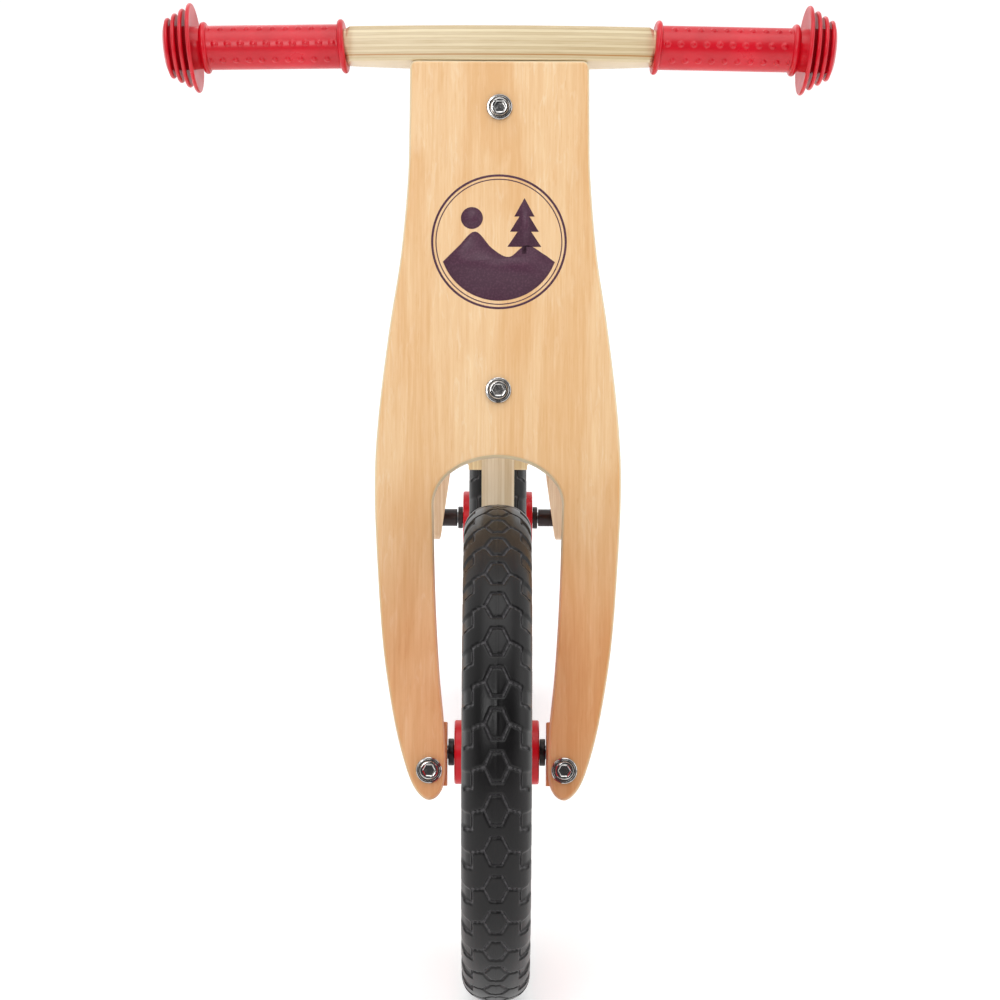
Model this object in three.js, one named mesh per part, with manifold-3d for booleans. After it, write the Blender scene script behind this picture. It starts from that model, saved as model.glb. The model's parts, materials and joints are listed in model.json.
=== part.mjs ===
// Wooden balance bike for a small child: plywood fork board, laminated beam and handlebar,
// two solid foam tyres on plastic wheels, and a padded seat that can be set higher.
// Millimetres, +Z up, the bike faces -Y, origin on the floor midway between the wheels.

import * as THREE from 'three';
import { mergeVertices } from 'three/addons/utils/BufferGeometryUtils.js';
import Module from 'manifold-3d';

// ---------------------------------------------------------------- driving dimensions

const WHEEL_RADIUS = 147;          // 12 inch wheel
const WHEELBASE = 565;
const RAKE = THREE.MathUtils.degToRad(18);   // steering axis, from the vertical
const GAP = 0.3;                   // left between pieces that touch
const ROUND = 24;                  // sides of a round that something turns on
const FEW = 12;                    // sides of a small round

const TYRE_WIDTH = 40;
const WHEEL_SIDES = 44;
const TYRE_DEPTH = 31;             // tread to the bead seat
const HUB_FLANGE_RADIUS = 19;
const HUB_HALF_WIDTH = 25;
const HUB_BORE_RADIUS = 10;
const HUB_FLANGE = 5;              // flange thickness
const AXLE_RADIUS = 4;
const RUNNING_GAP = 0.08;          // bearing bore over its shaft
const SCREW_RADIUS = 3;            // shank of the board, bar, stay and seat bolts
const SCREW_HOLE = SCREW_RADIUS + GAP;
const DOWEL_RADIUS = 5;            // barrel nuts
const HEX_SOCKET = 2.9;
const BOLT_FLANGE_RADIUS = 7.7;
const COLLAR_RADIUS = 8;
const COLLAR_LENGTH = 4;

const BOARD_THICKNESS = 15;
const BOARD_FRONT = -35;           // front face, from the axle, across the board
const BOARD_BACK = BOARD_FRONT + BOARD_THICKNESS;
const BOARD_TOP = 408;             // along the board, from the axle
const ARCH_HALF_WIDTH = 38;
const ARCH_SPRING = 145;           // where the arch starts, along the board
const ARCH_RISE = 28;
const LEG_BOLT_X = 39.5;
const LEG_BOLT_Z = -11;
const AXLE_BLOCK_OUTER = 46;
const UPPER_BOLT_Z = 380;
const LOWER_BOLT_Z = 212;

const STEER_Y = 8;                 // steering axis, behind the axle across the board
const STEER_RADIUS = 5;
const LOWER_BLOCK = [190, 234];    // bottom and top, along the board
const UPPER_BLOCK = [357, BOARD_TOP - GAP];
const BUSH_FLANGE = 1.5;
const BUSH_RADIUS = 7.5;
const BUSH_LENGTH = 21;
const HEAD = [LOWER_BLOCK[1] + 2 * GAP + BUSH_FLANGE, UPPER_BLOCK[0] - 2 * GAP - BUSH_FLANGE];
const HEAD_FRONT = STEER_Y - 20.4; // square nose, which stops the steering at the board

const BAR_THICKNESS = 21;
const BAR_HALF = 89;               // squared middle of the handlebar
const BAR_DEPTH = 37;
const BAR_END_DEPTH = 21;
const BAR_BOW = 5;                 // how far the ends of the squared part sit back
const SPIGOT_RADIUS = 10.5;
const SPIGOT_END = 192;
const SLEEVE_END = 84.8;           // of the grip's studded sleeve, from the bar's shoulder
const FINS = [[26.8, 7.4], [23.6, 12.4], [20.8, 17.2], [18.2, 21.8]];   // radius, place beyond the sleeve
const GRIP_SLANT = 0.095;          // how far a grip's rings lean outwards, per unit of height
const SWEEP = THREE.MathUtils.degToRad(5);   // grips turned back
const BAR_BOLT_X = 30;
const BAR_BOLT_Y = -8;

const BEAM_THICKNESS = 20;
const STAY_THICKNESS = 10;
const STAY_FRONT_Y = 100;          // front ends of the rear stays
const STAY_BOTTOM_Z = 230;
const STAY_TOP_Z = 302;
const STAY_END_RADIUS = 16;
const STAY_AT_AXLE = 43.2;         // inner face, from the middle, at the rear axle
const REAR_TUBE_RADIUS = 6.3;
const STAY_BOLTS = [[116, 262], [150, 274]];   // y, z

const SEAT_TRAVEL = 45;
const CHEEK_THICKNESS = 9;
const CHEEK_Y = [20, 90];
const CHEEK_Z = [246, 335];
const SEAT_BOLTS_Y = [38, 72];
const SEAT_BOLT_Z = 308;
const SEAT_CENTRE_Y = 70;
const SEAT_BASE_THICKNESS = 10;
const CUSHION_HEIGHT = 30;

const FRONT_AXLE = [-WHEELBASE / 2, WHEEL_RADIUS];   // y, z
const REAR_AXLE = [WHEELBASE / 2, WHEEL_RADIUS];
const STAY_SLOPE = (STAY_AT_AXLE - BEAM_THICKNESS / 2 - GAP) / (REAR_AXLE[0] - STAY_FRONT_Y);

// ---------------------------------------------------------------- colours

function material(color, roughness, metalness = 0) {
  return new THREE.MeshStandardMaterial({ color, roughness, metalness });
}
const BIRCH = () => material(0xeecb9a, 0.55);
const LAMINATED = () => material(0xe6d6b4, 0.6);
const RED_PLASTIC = () => material(0xd8182e, 0.45);
const TYRE_FOAM = () => material(0x232122, 0.85);
const CHROME = () => material(0xc9cbce, 0.2, 1);
const STEEL = () => material(0x9fa2a5, 0.4, 1);
const BLACK = () => material(0x1b1b1c, 0.6);
const NYLON = () => material(0xdad8d0, 0.5);
const SEAT_FABRIC = () => material(0xb5202f, 0.8);

// ---------------------------------------------------------------- solids

const wasm = await Module();
wasm.setup();

/** Closed solid for adding and cutting, from a geometry and where it stands. */
function solid(geometry, matrix) {
  let g = geometry.clone();
  if (matrix) g.applyMatrix4(matrix);
  g.deleteAttribute('normal');
  g.deleteAttribute('uv');
  g = mergeVertices(g, 1e-4);
  return new wasm.Manifold(new wasm.Mesh({
    numProp: 3,
    vertProperties: new Float32Array(g.attributes.position.array),
    triVerts: new Uint32Array(g.index.array),
  }));
}

/** Geometry of a solid. */
function geometryOf(manifold) {
  const mesh = manifold.getMesh();
  const g = new THREE.BufferGeometry();
  g.setAttribute('position', new THREE.BufferAttribute(new Float32Array(mesh.vertProperties), 3));
  g.setIndex(new THREE.BufferAttribute(new Uint32Array(mesh.triVerts), 1));
  g.computeVertexNormals();
  return g;
}

function at(x, y, z) {
  return new THREE.Matrix4().makeTranslation(x, y, z);
}

/** Box between two corners. */
function box(x0, x1, y0, y1, z0, z1) {
  return solid(new THREE.BoxGeometry(x1 - x0, y1 - y0, z1 - z0),
    at((x0 + x1) / 2, (y0 + y1) / 2, (z0 + z1) / 2));
}

/** Cylinder along x, y or z, from one place to another on that axis. */
function rod(axis, radius, from, to, centre = [0, 0], sides = ROUND) {
  const g = new THREE.CylinderGeometry(radius, radius, to - from, sides);
  const mid = (from + to) / 2;
  if (axis === 'x') return solid(g, at(mid, centre[0], centre[1])
    .multiply(new THREE.Matrix4().makeRotationZ(-Math.PI / 2)));
  if (axis === 'y') return solid(g, at(centre[0], mid, centre[1]));
  return solid(g, at(centre[0], centre[1], mid)
    .multiply(new THREE.Matrix4().makeRotationX(Math.PI / 2)));
}

/** Solid turned about the x axis from [radius, x] profile points that close on themselves. */
function turnedX(profile, segments) {
  const points = profile.map(([r, x]) => new THREE.Vector2(r, x));
  points.push(points[0].clone());
  const turn = new THREE.Matrix4().makeRotationZ(-Math.PI / 2);
  return solid(new THREE.LatheGeometry(points, segments), turn);
}

/** Outline in the (y, z) plane given thickness along x, from x0 to x1. */
function plateYZ(shape, x0, x1, curveSegments = 10) {
  const g = new THREE.ExtrudeGeometry(shape, { depth: x1 - x0, bevelEnabled: false, curveSegments });
  const m = new THREE.Matrix4().set(0, 0, 1, x0, 1, 0, 0, 0, 0, 1, 0, 0, 0, 0, 0, 1);
  return solid(g, m);
}

/** Outline in the (x, z) plane given thickness along y, from y0 to y1. */
function plateXZ(shape, y0, y1, curveSegments = 10) {
  const g = new THREE.ExtrudeGeometry(shape, { depth: y1 - y0, bevelEnabled: false, curveSegments });
  const m = new THREE.Matrix4().set(1, 0, 0, 0, 0, 0, -1, y1, 0, 1, 0, 0, 0, 0, 0, 1);
  return solid(g, m);
}

/** Outline in the (x, y) plane given thickness along z, from z0 to z1. */
function plateXY(shape, z0, z1, curveSegments = 10) {
  const g = new THREE.ExtrudeGeometry(shape, { depth: z1 - z0, bevelEnabled: false, curveSegments });
  return solid(g, at(0, 0, z0));
}

/** Adds one named node with its finish. */
function addNode(name, manifold, finish, parent) {
  const mesh = new THREE.Mesh(geometryOf(manifold), finish());
  mesh.name = name;
  parent.add(mesh);
}

const SIDES = [['left', 1], ['right', -1]];   // the rider's left and right

/** Span on one side of the middle: [a, b] for +1, mirrored for -1. */
function span(side, a, b) {
  return side > 0 ? [a, b] : [-b, -a];
}

// ---------------------------------------------------------------- fasteners

/** Flanged barrel bolt along y: low head in front of the board and shank into the block. */
function boardBolt(x, z, shankEnd) {
  const head = rod('y', BOLT_FLANGE_RADIUS, BOARD_FRONT - 2.4, BOARD_FRONT - GAP, [x, z], 16)
    .add(rod('y', 6.2, BOARD_FRONT - 3.4, BOARD_FRONT - 2.4, [x, z], 16));
  const socket = rod('y', HEX_SOCKET, BOARD_FRONT - 4, BOARD_FRONT - 0.9, [x, z], 6);
  return head.add(rod('y', SCREW_RADIUS, BOARD_FRONT - GAP, shankEnd, [x, z], FEW)).subtract(socket);
}

/** Cross dowel along x or z with a threaded hole along y. */
function barrelNut(axis, along, centre, boltX, boltZ) {
  return rod(axis, DOWEL_RADIUS, along[0], along[1], centre, 16)
    .subtract(rod('y', SCREW_HOLE, -60, 60, [boltX, boltZ], FEW));
}

/** Domed nut along x: hexagon, then a low round cap. */
function domedNut(side, x, centre, bore) {
  const [a, b] = span(side, x, x + 5);
  const [c, d] = span(side, x + 4.9, x + 8);
  const [e, f] = span(side, x - 1, x + 5);
  return rod('x', 7.5, a, b, centre, 6).add(rod('x', 5.2, c, d, centre, 16))
    .subtract(rod('x', bore, e, f, centre, 16));
}

/** Low round head on a shank along x. */
function crossBolt(headX, shankEnd, radius, centre) {
  return rod('x', radius, Math.min(headX, shankEnd), Math.max(headX, shankEnd), centre, 16)
    .add(rod('x', 7.5, headX - 3.5, headX, centre, 16))
    .subtract(rod('x', HEX_SOCKET, headX - 4, headX - 1.5, centre, 6));
}

// ---------------------------------------------------------------- wheels

/** Foam tyre: a ring of rounded section with a shallow seat for the rim. */
function tyre() {
  const half = TYRE_WIDTH / 2;
  const inner = WHEEL_RADIUS - TYRE_DEPTH;
  return turnedX([
    [inner, 13], [inner, -13], [inner + 6, -16.5], [inner + 16, -half], [inner + 23, 1 - half],
    [WHEEL_RADIUS - 3, -13.5], [WHEEL_RADIUS, -5], [WHEEL_RADIUS, 5], [WHEEL_RADIUS - 3, 13.5],
    [inner + 23, half - 1], [inner + 16, half], [inner + 6, 16.5],
  ], WHEEL_SIDES);
}

/** Plastic wheel in one moulding: channel rim, six openings, hub barrel and flanges. */
function rim() {
  const outer = WHEEL_RADIUS - TYRE_DEPTH - GAP;
  const body = turnedX([
    [HUB_BORE_RADIUS, -HUB_HALF_WIDTH], [HUB_FLANGE_RADIUS, -HUB_HALF_WIDTH],
    [HUB_FLANGE_RADIUS, HUB_FLANGE - HUB_HALF_WIDTH],
    [15, HUB_FLANGE + 2 - HUB_HALF_WIDTH], [17, -6], [outer - 12, -6], [outer - 8, -13], [outer, -13],
    [outer, 13], [outer - 8, 13], [outer - 12, 6], [17, 6], [15, HUB_HALF_WIDTH - HUB_FLANGE - 2],
    [HUB_FLANGE_RADIUS, HUB_HALF_WIDTH - HUB_FLANGE], [HUB_FLANGE_RADIUS, HUB_HALF_WIDTH],
    [HUB_BORE_RADIUS, HUB_HALF_WIDTH],
  ], WHEEL_SIDES);
  let cut = body;
  for (let i = 0; i < 6; i++) {
    const window = windowOpening(26, outer - 15, 0.36);
    cut = cut.subtract(plateYZ(window, -20, 20, 4).rotate([i * 60, 0, 0]));
  }
  return cut;
}

/** Opening between two spokes: a ring sector with straight flanks. */
function windowOpening(inner, outer, halfAngle) {
  const shape = new THREE.Shape();
  shape.absarc(0, 0, outer, -halfAngle, halfAngle, false);
  shape.lineTo(inner * Math.cos(halfAngle * 0.6), inner * Math.sin(halfAngle * 0.6));
  shape.lineTo(inner * Math.cos(halfAngle * 0.6), -inner * Math.sin(halfAngle * 0.6));
  return shape;
}

/** Sleeve bearing pressed into the hub, with its running bore. */
function bearing(side) {
  const [a, b] = span(side, 13, HUB_HALF_WIDTH);
  return rod('x', HUB_BORE_RADIUS - GAP, a, b, [0, 0], ROUND)
    .subtract(rod('x', AXLE_RADIUS + RUNNING_GAP, a - 1, b + 1, [0, 0], ROUND));
}

/** Tyre, rim and bearings of one wheel, about its own axle. */
function addWheel(prefix, parent) {
  addNode(`${prefix}_tyre`, tyre(), TYRE_FOAM, parent);
  addNode(`${prefix}_rim`, rim(), RED_PLASTIC, parent);
  for (const [word, side] of SIDES) {
    addNode(`${prefix}_bearing_${word}`, bearing(side), NYLON, parent);
  }
}

/** Collar on the axle between the hub face and what carries it. */
function collar(side) {
  const x = HUB_HALF_WIDTH + GAP;
  const [a, b] = span(side, x, x + COLLAR_LENGTH - 2 * GAP);
  return rod('x', COLLAR_RADIUS, a, b, [0, 0], 16)
    .subtract(rod('x', AXLE_RADIUS + GAP, a - 1, b + 1, [0, 0], 16));
}

// ---------------------------------------------------------------- fork

/** Bottle-shaped board: shoulders widen down to the arch, then two tapering legs. */
function boardOutline() {
  const half = [[53.5, 337], [57.8, 292], [64.4, 248], [70.4, 197], [72.4, 155], [70, 102],
    [66.4, 58], [60, 18], [53.4, -8]];
  const right = half.map(([x, z]) => new THREE.Vector2(x, z));
  const left = half.map(([x, z]) => new THREE.Vector2(-x, z)).reverse();
  const inner = [[31, 22], [34, 48], [36.6, 95]];
  const shape = new THREE.Shape();
  shape.moveTo(-49, BOARD_TOP);
  shape.lineTo(49, BOARD_TOP);
  shape.absarc(49, BOARD_TOP - 4, 4, Math.PI / 2, 0, true);
  shape.splineThru(right);
  shape.bezierCurveTo(48, -22, 46, -28, 40, -28.4);
  shape.bezierCurveTo(33, -28.4, 30, -20, 30, -10);
  shape.splineThru([...inner.map(([x, z]) => new THREE.Vector2(x, z)),
    new THREE.Vector2(ARCH_HALF_WIDTH, ARCH_SPRING)]);
  shape.absellipse(0, ARCH_SPRING, ARCH_HALF_WIDTH, ARCH_RISE, 0, Math.PI, false);
  shape.splineThru([...inner.map(([x, z]) => new THREE.Vector2(-x, z)).reverse(),
    new THREE.Vector2(-30, -10)]);
  shape.bezierCurveTo(-30, -20, -33, -28.4, -40, -28.4);
  shape.bezierCurveTo(-46, -28, -48, -22, -53.4, -8);
  shape.splineThru([...left.slice(1), new THREE.Vector2(-53, BOARD_TOP - 4)]);
  shape.absarc(-49, BOARD_TOP - 4, 4, Math.PI, Math.PI / 2, true);
  return shape;
}

/** The board with its four bolt holes. */
function forkBoard() {
  let board = plateXZ(boardOutline(), BOARD_FRONT, BOARD_BACK, 3);
  const holes = [[0, UPPER_BOLT_Z], [0, LOWER_BOLT_Z], [-LEG_BOLT_X, LEG_BOLT_Z], [LEG_BOLT_X, LEG_BOLT_Z]];
  for (const hole of holes) board = board.subtract(rod('y', SCREW_HOLE, -60, 0, hole, FEW));
  return board;
}

/** Block behind the board that carries one end of the steering bolt. */
function headBlock([bottom, top], halfWidth, boltZ) {
  let block = box(-halfWidth, halfWidth, BOARD_BACK + GAP, 34, bottom, top);
  block = block.subtract(rod('z', STEER_RADIUS + GAP, bottom - 1, top + 1, [0, STEER_Y], 16));
  block = block.subtract(rod('y', SCREW_HOLE, -40, -4, [0, boltZ], FEW));
  return block.subtract(rod('x', DOWEL_RADIUS + GAP, -halfWidth - 1, 6, [-9.5, boltZ], 16));
}

/** Axle carrier behind one leg. */
function axleBlock(side) {
  const [a, b] = span(side, 29 + GAP, AXLE_BLOCK_OUTER);
  return box(a, b, BOARD_BACK + GAP, 16, -20, 17.5)
    .subtract(rod('x', AXLE_RADIUS + GAP, a - 1, b + 1, [0, 0], 16))
    .subtract(rod('y', SCREW_HOLE, -40, -8, [side * LEG_BOLT_X, LEG_BOLT_Z], FEW))
    .subtract(rod('z', DOWEL_RADIUS + GAP, -21, -7.5, [side * LEG_BOLT_X, -11.5], 16));
}

/** Bowed laminated bar, deepest in the middle, with a round spigot at each end. */
function handlebar() {
  const front = BOARD_FRONT;
  const shape = new THREE.Shape();
  shape.moveTo(-BAR_HALF, front + BAR_BOW);
  shape.quadraticCurveTo(0, front - BAR_BOW, BAR_HALF, front + BAR_BOW);
  shape.lineTo(BAR_HALF, front + BAR_BOW + BAR_END_DEPTH);
  shape.quadraticCurveTo(0, front + 2 * BAR_DEPTH - BAR_BOW - BAR_END_DEPTH,
    -BAR_HALF, front + BAR_BOW + BAR_END_DEPTH);
  const bottom = BOARD_TOP + GAP;
  let bar = plateXY(shape, bottom, bottom + BAR_THICKNESS, 12);
  for (const [, side] of SIDES) bar = bar.add(spigot(side));
  for (const [, side] of SIDES) {
    bar = bar.subtract(rod('z', SCREW_HOLE, bottom - 1, bottom + 40, [side * BAR_BOLT_X, BAR_BOLT_Y], FEW));
  }
  return bar;
}

/** Where a grip's own axis starts and how it is turned, as a matrix for a rod along x. */
function gripFrame(side) {
  const middle = BOARD_FRONT + BAR_BOW + BAR_END_DEPTH / 2;
  return at(side * BAR_HALF, middle, BOARD_TOP + GAP + BAR_THICKNESS / 2)
    .multiply(new THREE.Matrix4().makeRotationZ(side * SWEEP));
}

/** Solid turned about a grip's axis from [radius, along] points; a slant moves it outwards with height. */
function turnedAlong(side, profile, segments, slant = 0) {
  const points = profile.map(([r, x]) => new THREE.Vector2(r, x));
  const turn = new THREE.Matrix4().makeRotationZ(-side * Math.PI / 2);
  const lean = new THREE.Matrix4().set(1, 0, side * slant, 0, 0, 1, 0, 0, 0, 0, 1, 0, 0, 0, 0, 1);
  return solid(new THREE.LatheGeometry(points, segments), gripFrame(side).multiply(lean).multiply(turn));
}

/** Round end of the bar inside a grip. */
function spigot(side) {
  const length = SPIGOT_END - BAR_HALF;
  return turnedAlong(side, [[0, -6], [SPIGOT_RADIUS, -6], [SPIGOT_RADIUS, length - 2],
    [SPIGOT_RADIUS - 2, length], [0, length]], 16);
}

/** Moulded grip: inner bead, sleeve, outer bead and a closed end of four shrinking fins. */
function grip(side) {
  const bore = SPIGOT_RADIUS + GAP;
  const bottom = SPIGOT_END - BAR_HALF + GAP + GRIP_SLANT * bore;
  const profile = [[bore, 2.4], [15.5, 2.4], [16.2, 4.2], [15.5, 6], [13.2, 6.4], [13.2, SLEEVE_END - 0.5],
    [15.6, SLEEVE_END], [15.6, SLEEVE_END + 4], [12.5, SLEEVE_END + 4.5], [12.5, SLEEVE_END + 6]];
  for (const [radius, offset] of FINS) {
    const start = SLEEVE_END + offset;
    profile.push([radius, start], [radius, start + 2.8], [14, start + 3.2]);
  }
  profile.push([12, SLEEVE_END + 27], [0, SLEEVE_END + 27], [0, bottom], [bore, bottom], [bore, 2.4]);
  return turnedAlong(side, profile, 20, GRIP_SLANT);
}

/** Steering bolt: round head below the lower block, shank up to the nut. */
function steeringBolt() {
  const bottom = LOWER_BLOCK[0];
  return rod('z', STEER_RADIUS, bottom - GAP, UPPER_BLOCK[1] - 3, [0, STEER_Y], 16)
    .add(rod('z', 9, bottom - 5, bottom - GAP, [0, STEER_Y], 16))
    .subtract(rod('z', 3.5, bottom - 6, bottom - 2, [0, STEER_Y], 6));
}

/** Hexagon nut let into the top of the upper block. */
function steeringNut() {
  const top = UPPER_BLOCK[1] - 2;
  return rod('z', 9, top - 8, top, [0, STEER_Y], 6)
    .subtract(rod('z', STEER_RADIUS + GAP, top - 9, top + 1, [0, STEER_Y], 16));
}

/** Handlebar bolt: low head on the bar and shank down into the upper block. */
function handlebarBolt(side) {
  const top = BOARD_TOP + GAP + BAR_THICKNESS;
  return rod('z', SCREW_RADIUS, 376, top + GAP, [side * BAR_BOLT_X, BAR_BOLT_Y], FEW)
    .add(rod('z', BOLT_FLANGE_RADIUS, top + GAP, top + 3, [side * BAR_BOLT_X, BAR_BOLT_Y], 16))
    .subtract(rod('z', HEX_SOCKET, top + 1.4, top + 4, [side * BAR_BOLT_X, BAR_BOLT_Y], 6));
}

/** Upper block, counterbored for the steering nut and drilled for the bar's bolts. */
function upperHeadBlock() {
  const top = UPPER_BLOCK[1];
  let block = headBlock(UPPER_BLOCK, 44, UPPER_BOLT_Z)
    .subtract(rod('z', 10.5, top - 11, top + 1, [0, STEER_Y], 16));
  for (const [, side] of SIDES) {
    block = block.subtract(rod('z', SCREW_HOLE, 375, top + 1, [side * BAR_BOLT_X, BAR_BOLT_Y], FEW));
  }
  return block;
}

/** Everything that turns with the steering, except the front wheel. */
function addFork(fork) {
  addNode('fork_board', forkBoard(), BIRCH, fork);
  addNode('head_block_upper', upperHeadBlock(), BIRCH, fork);
  addNode('head_block_lower', headBlock(LOWER_BLOCK, 30, LOWER_BOLT_Z), BIRCH, fork);
  addNode('board_bolt_upper', boardBolt(0, UPPER_BOLT_Z, -5), CHROME, fork);
  addNode('board_bolt_lower', boardBolt(0, LOWER_BOLT_Z, -5), CHROME, fork);
  for (const [word, z] of [['upper', UPPER_BOLT_Z], ['lower', LOWER_BOLT_Z]]) {
    addNode(`barrel_nut_${word}`, barrelNut('x', [-16, 5.6], [-9.5, z], 0, z), STEEL, fork);
  }
  addNode('steering_bolt', steeringBolt(), STEEL, fork);
  addNode('steering_nut', steeringNut(), STEEL, fork);
  addNode('handlebar', handlebar(), LAMINATED, fork);
  for (const [word, side] of SIDES) {
    addNode(`grip_${word}`, grip(side), RED_PLASTIC, fork);
    addNode(`handlebar_bolt_${word}`, handlebarBolt(side), CHROME, fork);
    addNode(`axle_block_${word}`, axleBlock(side), BIRCH, fork);
    addNode(`leg_bolt_${word}`, boardBolt(side * LEG_BOLT_X, LEG_BOLT_Z, -9), CHROME, fork);
    addNode(`front_collar_${word}`, collar(side), BLACK, fork);
    addNode(`front_axle_nut_${word}`,
      domedNut(side, AXLE_BLOCK_OUTER + GAP, [0, 0], AXLE_RADIUS + GAP), STEEL, fork);
  }
  const axleEnd = AXLE_BLOCK_OUTER + 4;
  addNode('front_axle', rod('x', AXLE_RADIUS, -axleEnd, axleEnd), STEEL, fork);
}

// ---------------------------------------------------------------- frame

/** Point of the fork's own frame, across (y) and along (z) the board, as frame y and z. */
function fromFork(across, along) {
  return [FRONT_AXLE[0] + across * Math.cos(RAKE) + along * Math.sin(RAKE),
    FRONT_AXLE[1] - across * Math.sin(RAKE) + along * Math.cos(RAKE)];
}

/** Beam: upright head, sweep down behind the front wheel, low waist, seat tower and tail. */
function beamOutline() {
  const shape = new THREE.Shape();
  shape.moveTo(...fromFork(HEAD_FRONT, HEAD[0]));
  shape.lineTo(...fromFork(HEAD_FRONT, HEAD[1]));
  shape.lineTo(...fromFork(44, HEAD[1]));
  shape.bezierCurveTo(-92, 440, -88, 300, -20, 276);
  shape.quadraticCurveTo(8, 268, 12, 300);
  shape.quadraticCurveTo(14, 330, 30, 330);
  shape.lineTo(84, 330);
  shape.quadraticCurveTo(100, 330, 112, 318);
  shape.quadraticCurveTo(128, 302, 150, 300);
  shape.quadraticCurveTo(168, 298, 166, 278);
  shape.quadraticCurveTo(160, 240, 120, 224);
  shape.quadraticCurveTo(40, 190, -60, 178);
  shape.quadraticCurveTo(-104, 172, -116, 200);
  shape.quadraticCurveTo(-126, 236, -152, 258);
  shape.quadraticCurveTo(-160, 290, ...fromFork(54, HEAD[0]));
  return shape;
}

/** The beam with its head bores and bolt holes. */
function frameBeam() {
  const half = BEAM_THICKNESS / 2;
  let beam = plateYZ(beamOutline(), -half, half, 9);
  beam = beam.subtract(steeringBore(BUSH_RADIUS + GAP, HEAD[0] - 1, HEAD[0] + BUSH_LENGTH + 1));
  beam = beam.subtract(steeringBore(BUSH_RADIUS + GAP, HEAD[1] - BUSH_LENGTH - 1, HEAD[1] + 1));
  beam = beam.subtract(steeringBore(STEER_RADIUS + 1, HEAD[0], HEAD[1]));
  for (const y of SEAT_BOLTS_Y) beam = beam.subtract(rod('x', SCREW_HOLE, -11, 11, [y, SEAT_BOLT_Z], FEW));
  for (const bolt of STAY_BOLTS) beam = beam.subtract(rod('x', SCREW_HOLE, -11, 11, bolt, FEW));
  return beam;
}

/** Cylinder on the steering axis, between two places along it, in the frame's place. */
function steeringBore(radius, from, to) {
  return inFork(rod('z', radius, from, to, [0, STEER_Y], 16));
}

/** Solid modelled beside the fork, moved to where the fork stands in the frame. */
function inFork(manifold) {
  return manifold.rotate([-THREE.MathUtils.radToDeg(RAKE), 0, 0])
    .translate([0, FRONT_AXLE[0], FRONT_AXLE[1]]);
}

/** Side plate of the head, glued to the beam so that the bolt runs in a wide nose. Clears the bushes. */
function headPlate(side) {
  const half = BEAM_THICKNESS / 2 + GAP;
  const [a, b] = span(side, half, half + 9);
  const shape = new THREE.Shape();
  shape.moveTo(...fromFork(HEAD_FRONT, HEAD[0]));
  shape.lineTo(...fromFork(HEAD_FRONT, HEAD[1]));
  shape.lineTo(...fromFork(40, HEAD[1]));
  shape.quadraticCurveTo(...fromFork(58, 300), ...fromFork(50, HEAD[0] + 14));
  shape.quadraticCurveTo(...fromFork(46, HEAD[0]), ...fromFork(34, HEAD[0]));
  return plateYZ(shape, a, b, 8).subtract(steeringBore(STEER_RADIUS + 4, HEAD[0] - 5, HEAD[1] + 5));
}

/** Flanged bush: sleeve in the beam's head, flange on the head's end. */
function headBush(end) {
  const z = HEAD[end];
  const [sleeve, flange] = end === 0
    ? [[z - GAP, z + BUSH_LENGTH], [z - GAP - BUSH_FLANGE, z - GAP]]
    : [[z - BUSH_LENGTH, z + GAP], [z + GAP, z + GAP + BUSH_FLANGE]];
  return rod('z', BUSH_RADIUS, ...sleeve, [0, STEER_Y], ROUND)
    .add(rod('z', 13, ...flange, [0, STEER_Y], ROUND))
    .subtract(rod('z', STEER_RADIUS + RUNNING_GAP, z - 30, z + 30, [0, STEER_Y], ROUND));
}

/** Rear stay, seen from the side: a bracket on the beam, then a leg to the rear axle. */
function stayOutline() {
  const lean = THREE.MathUtils.degToRad(35);
  const [y, z] = REAR_AXLE;
  const r = STAY_END_RADIUS;
  const across = [-Math.cos(lean) * r, -Math.sin(lean) * r];
  const along = [-Math.sin(lean), Math.cos(lean)];
  const shape = new THREE.Shape();
  shape.moveTo(STAY_FRONT_Y, STAY_BOTTOM_Z);
  shape.lineTo(178, STAY_BOTTOM_Z + 14);
  shape.quadraticCurveTo(200, STAY_BOTTOM_Z + 14,
    y + across[0] + along[0] * 60, z + across[1] + along[1] * 60);
  shape.lineTo(y + across[0], z + across[1]);
  shape.absarc(y, z, r, lean + Math.PI, lean + 2 * Math.PI, false);
  shape.lineTo(y - across[0] + along[0] * 120 + 10, z - across[1] + along[1] * 120);
  shape.quadraticCurveTo(206, STAY_TOP_Z + 8, 170, STAY_TOP_Z + 4);
  shape.lineTo(STAY_FRONT_Y, STAY_TOP_Z - 8);
  return shape;
}

/** Leans a plate lying beside the middle plane outwards, more the further back it is. */
function flare(manifold, side) {
  return manifold.warp((v) => {
    v[0] += side * STAY_SLOPE * (v[1] - STAY_FRONT_Y);
  });
}

/** One rear stay, flared out from the beam, drilled for the axle and its bolts. */
function rearStay(side) {
  const half = BEAM_THICKNESS / 2 + GAP;
  const [a, b] = span(side, half, half + STAY_THICKNESS);
  let stay = flare(plateYZ(stayOutline(), a, b, 10), side);
  stay = stay.subtract(rod('x', AXLE_RADIUS + GAP, -80, 80, REAR_AXLE, 16));
  for (const bolt of STAY_BOLTS) stay = stay.subtract(rod('x', SCREW_HOLE, -80, 80, bolt, FEW));
  return stay;
}

/** Tapered packing between the beam and a stay. */
function stayWedge(side) {
  const half = BEAM_THICKNESS / 2 + GAP;
  const end = 164;
  const shape = new THREE.Shape();
  const thick = STAY_SLOPE * (end - STAY_FRONT_Y) - 2 * GAP;
  const start = STAY_FRONT_Y + 3 * GAP / STAY_SLOPE;
  shape.moveTo(side * half, start);
  shape.lineTo(side * (half + thick), end);
  shape.lineTo(side * half, end);
  let wedge = plateXY(shape, 250, 292);
  for (const bolt of STAY_BOLTS) wedge = wedge.subtract(rod('x', SCREW_HOLE, -80, 80, bolt, FEW));
  return wedge;
}

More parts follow.
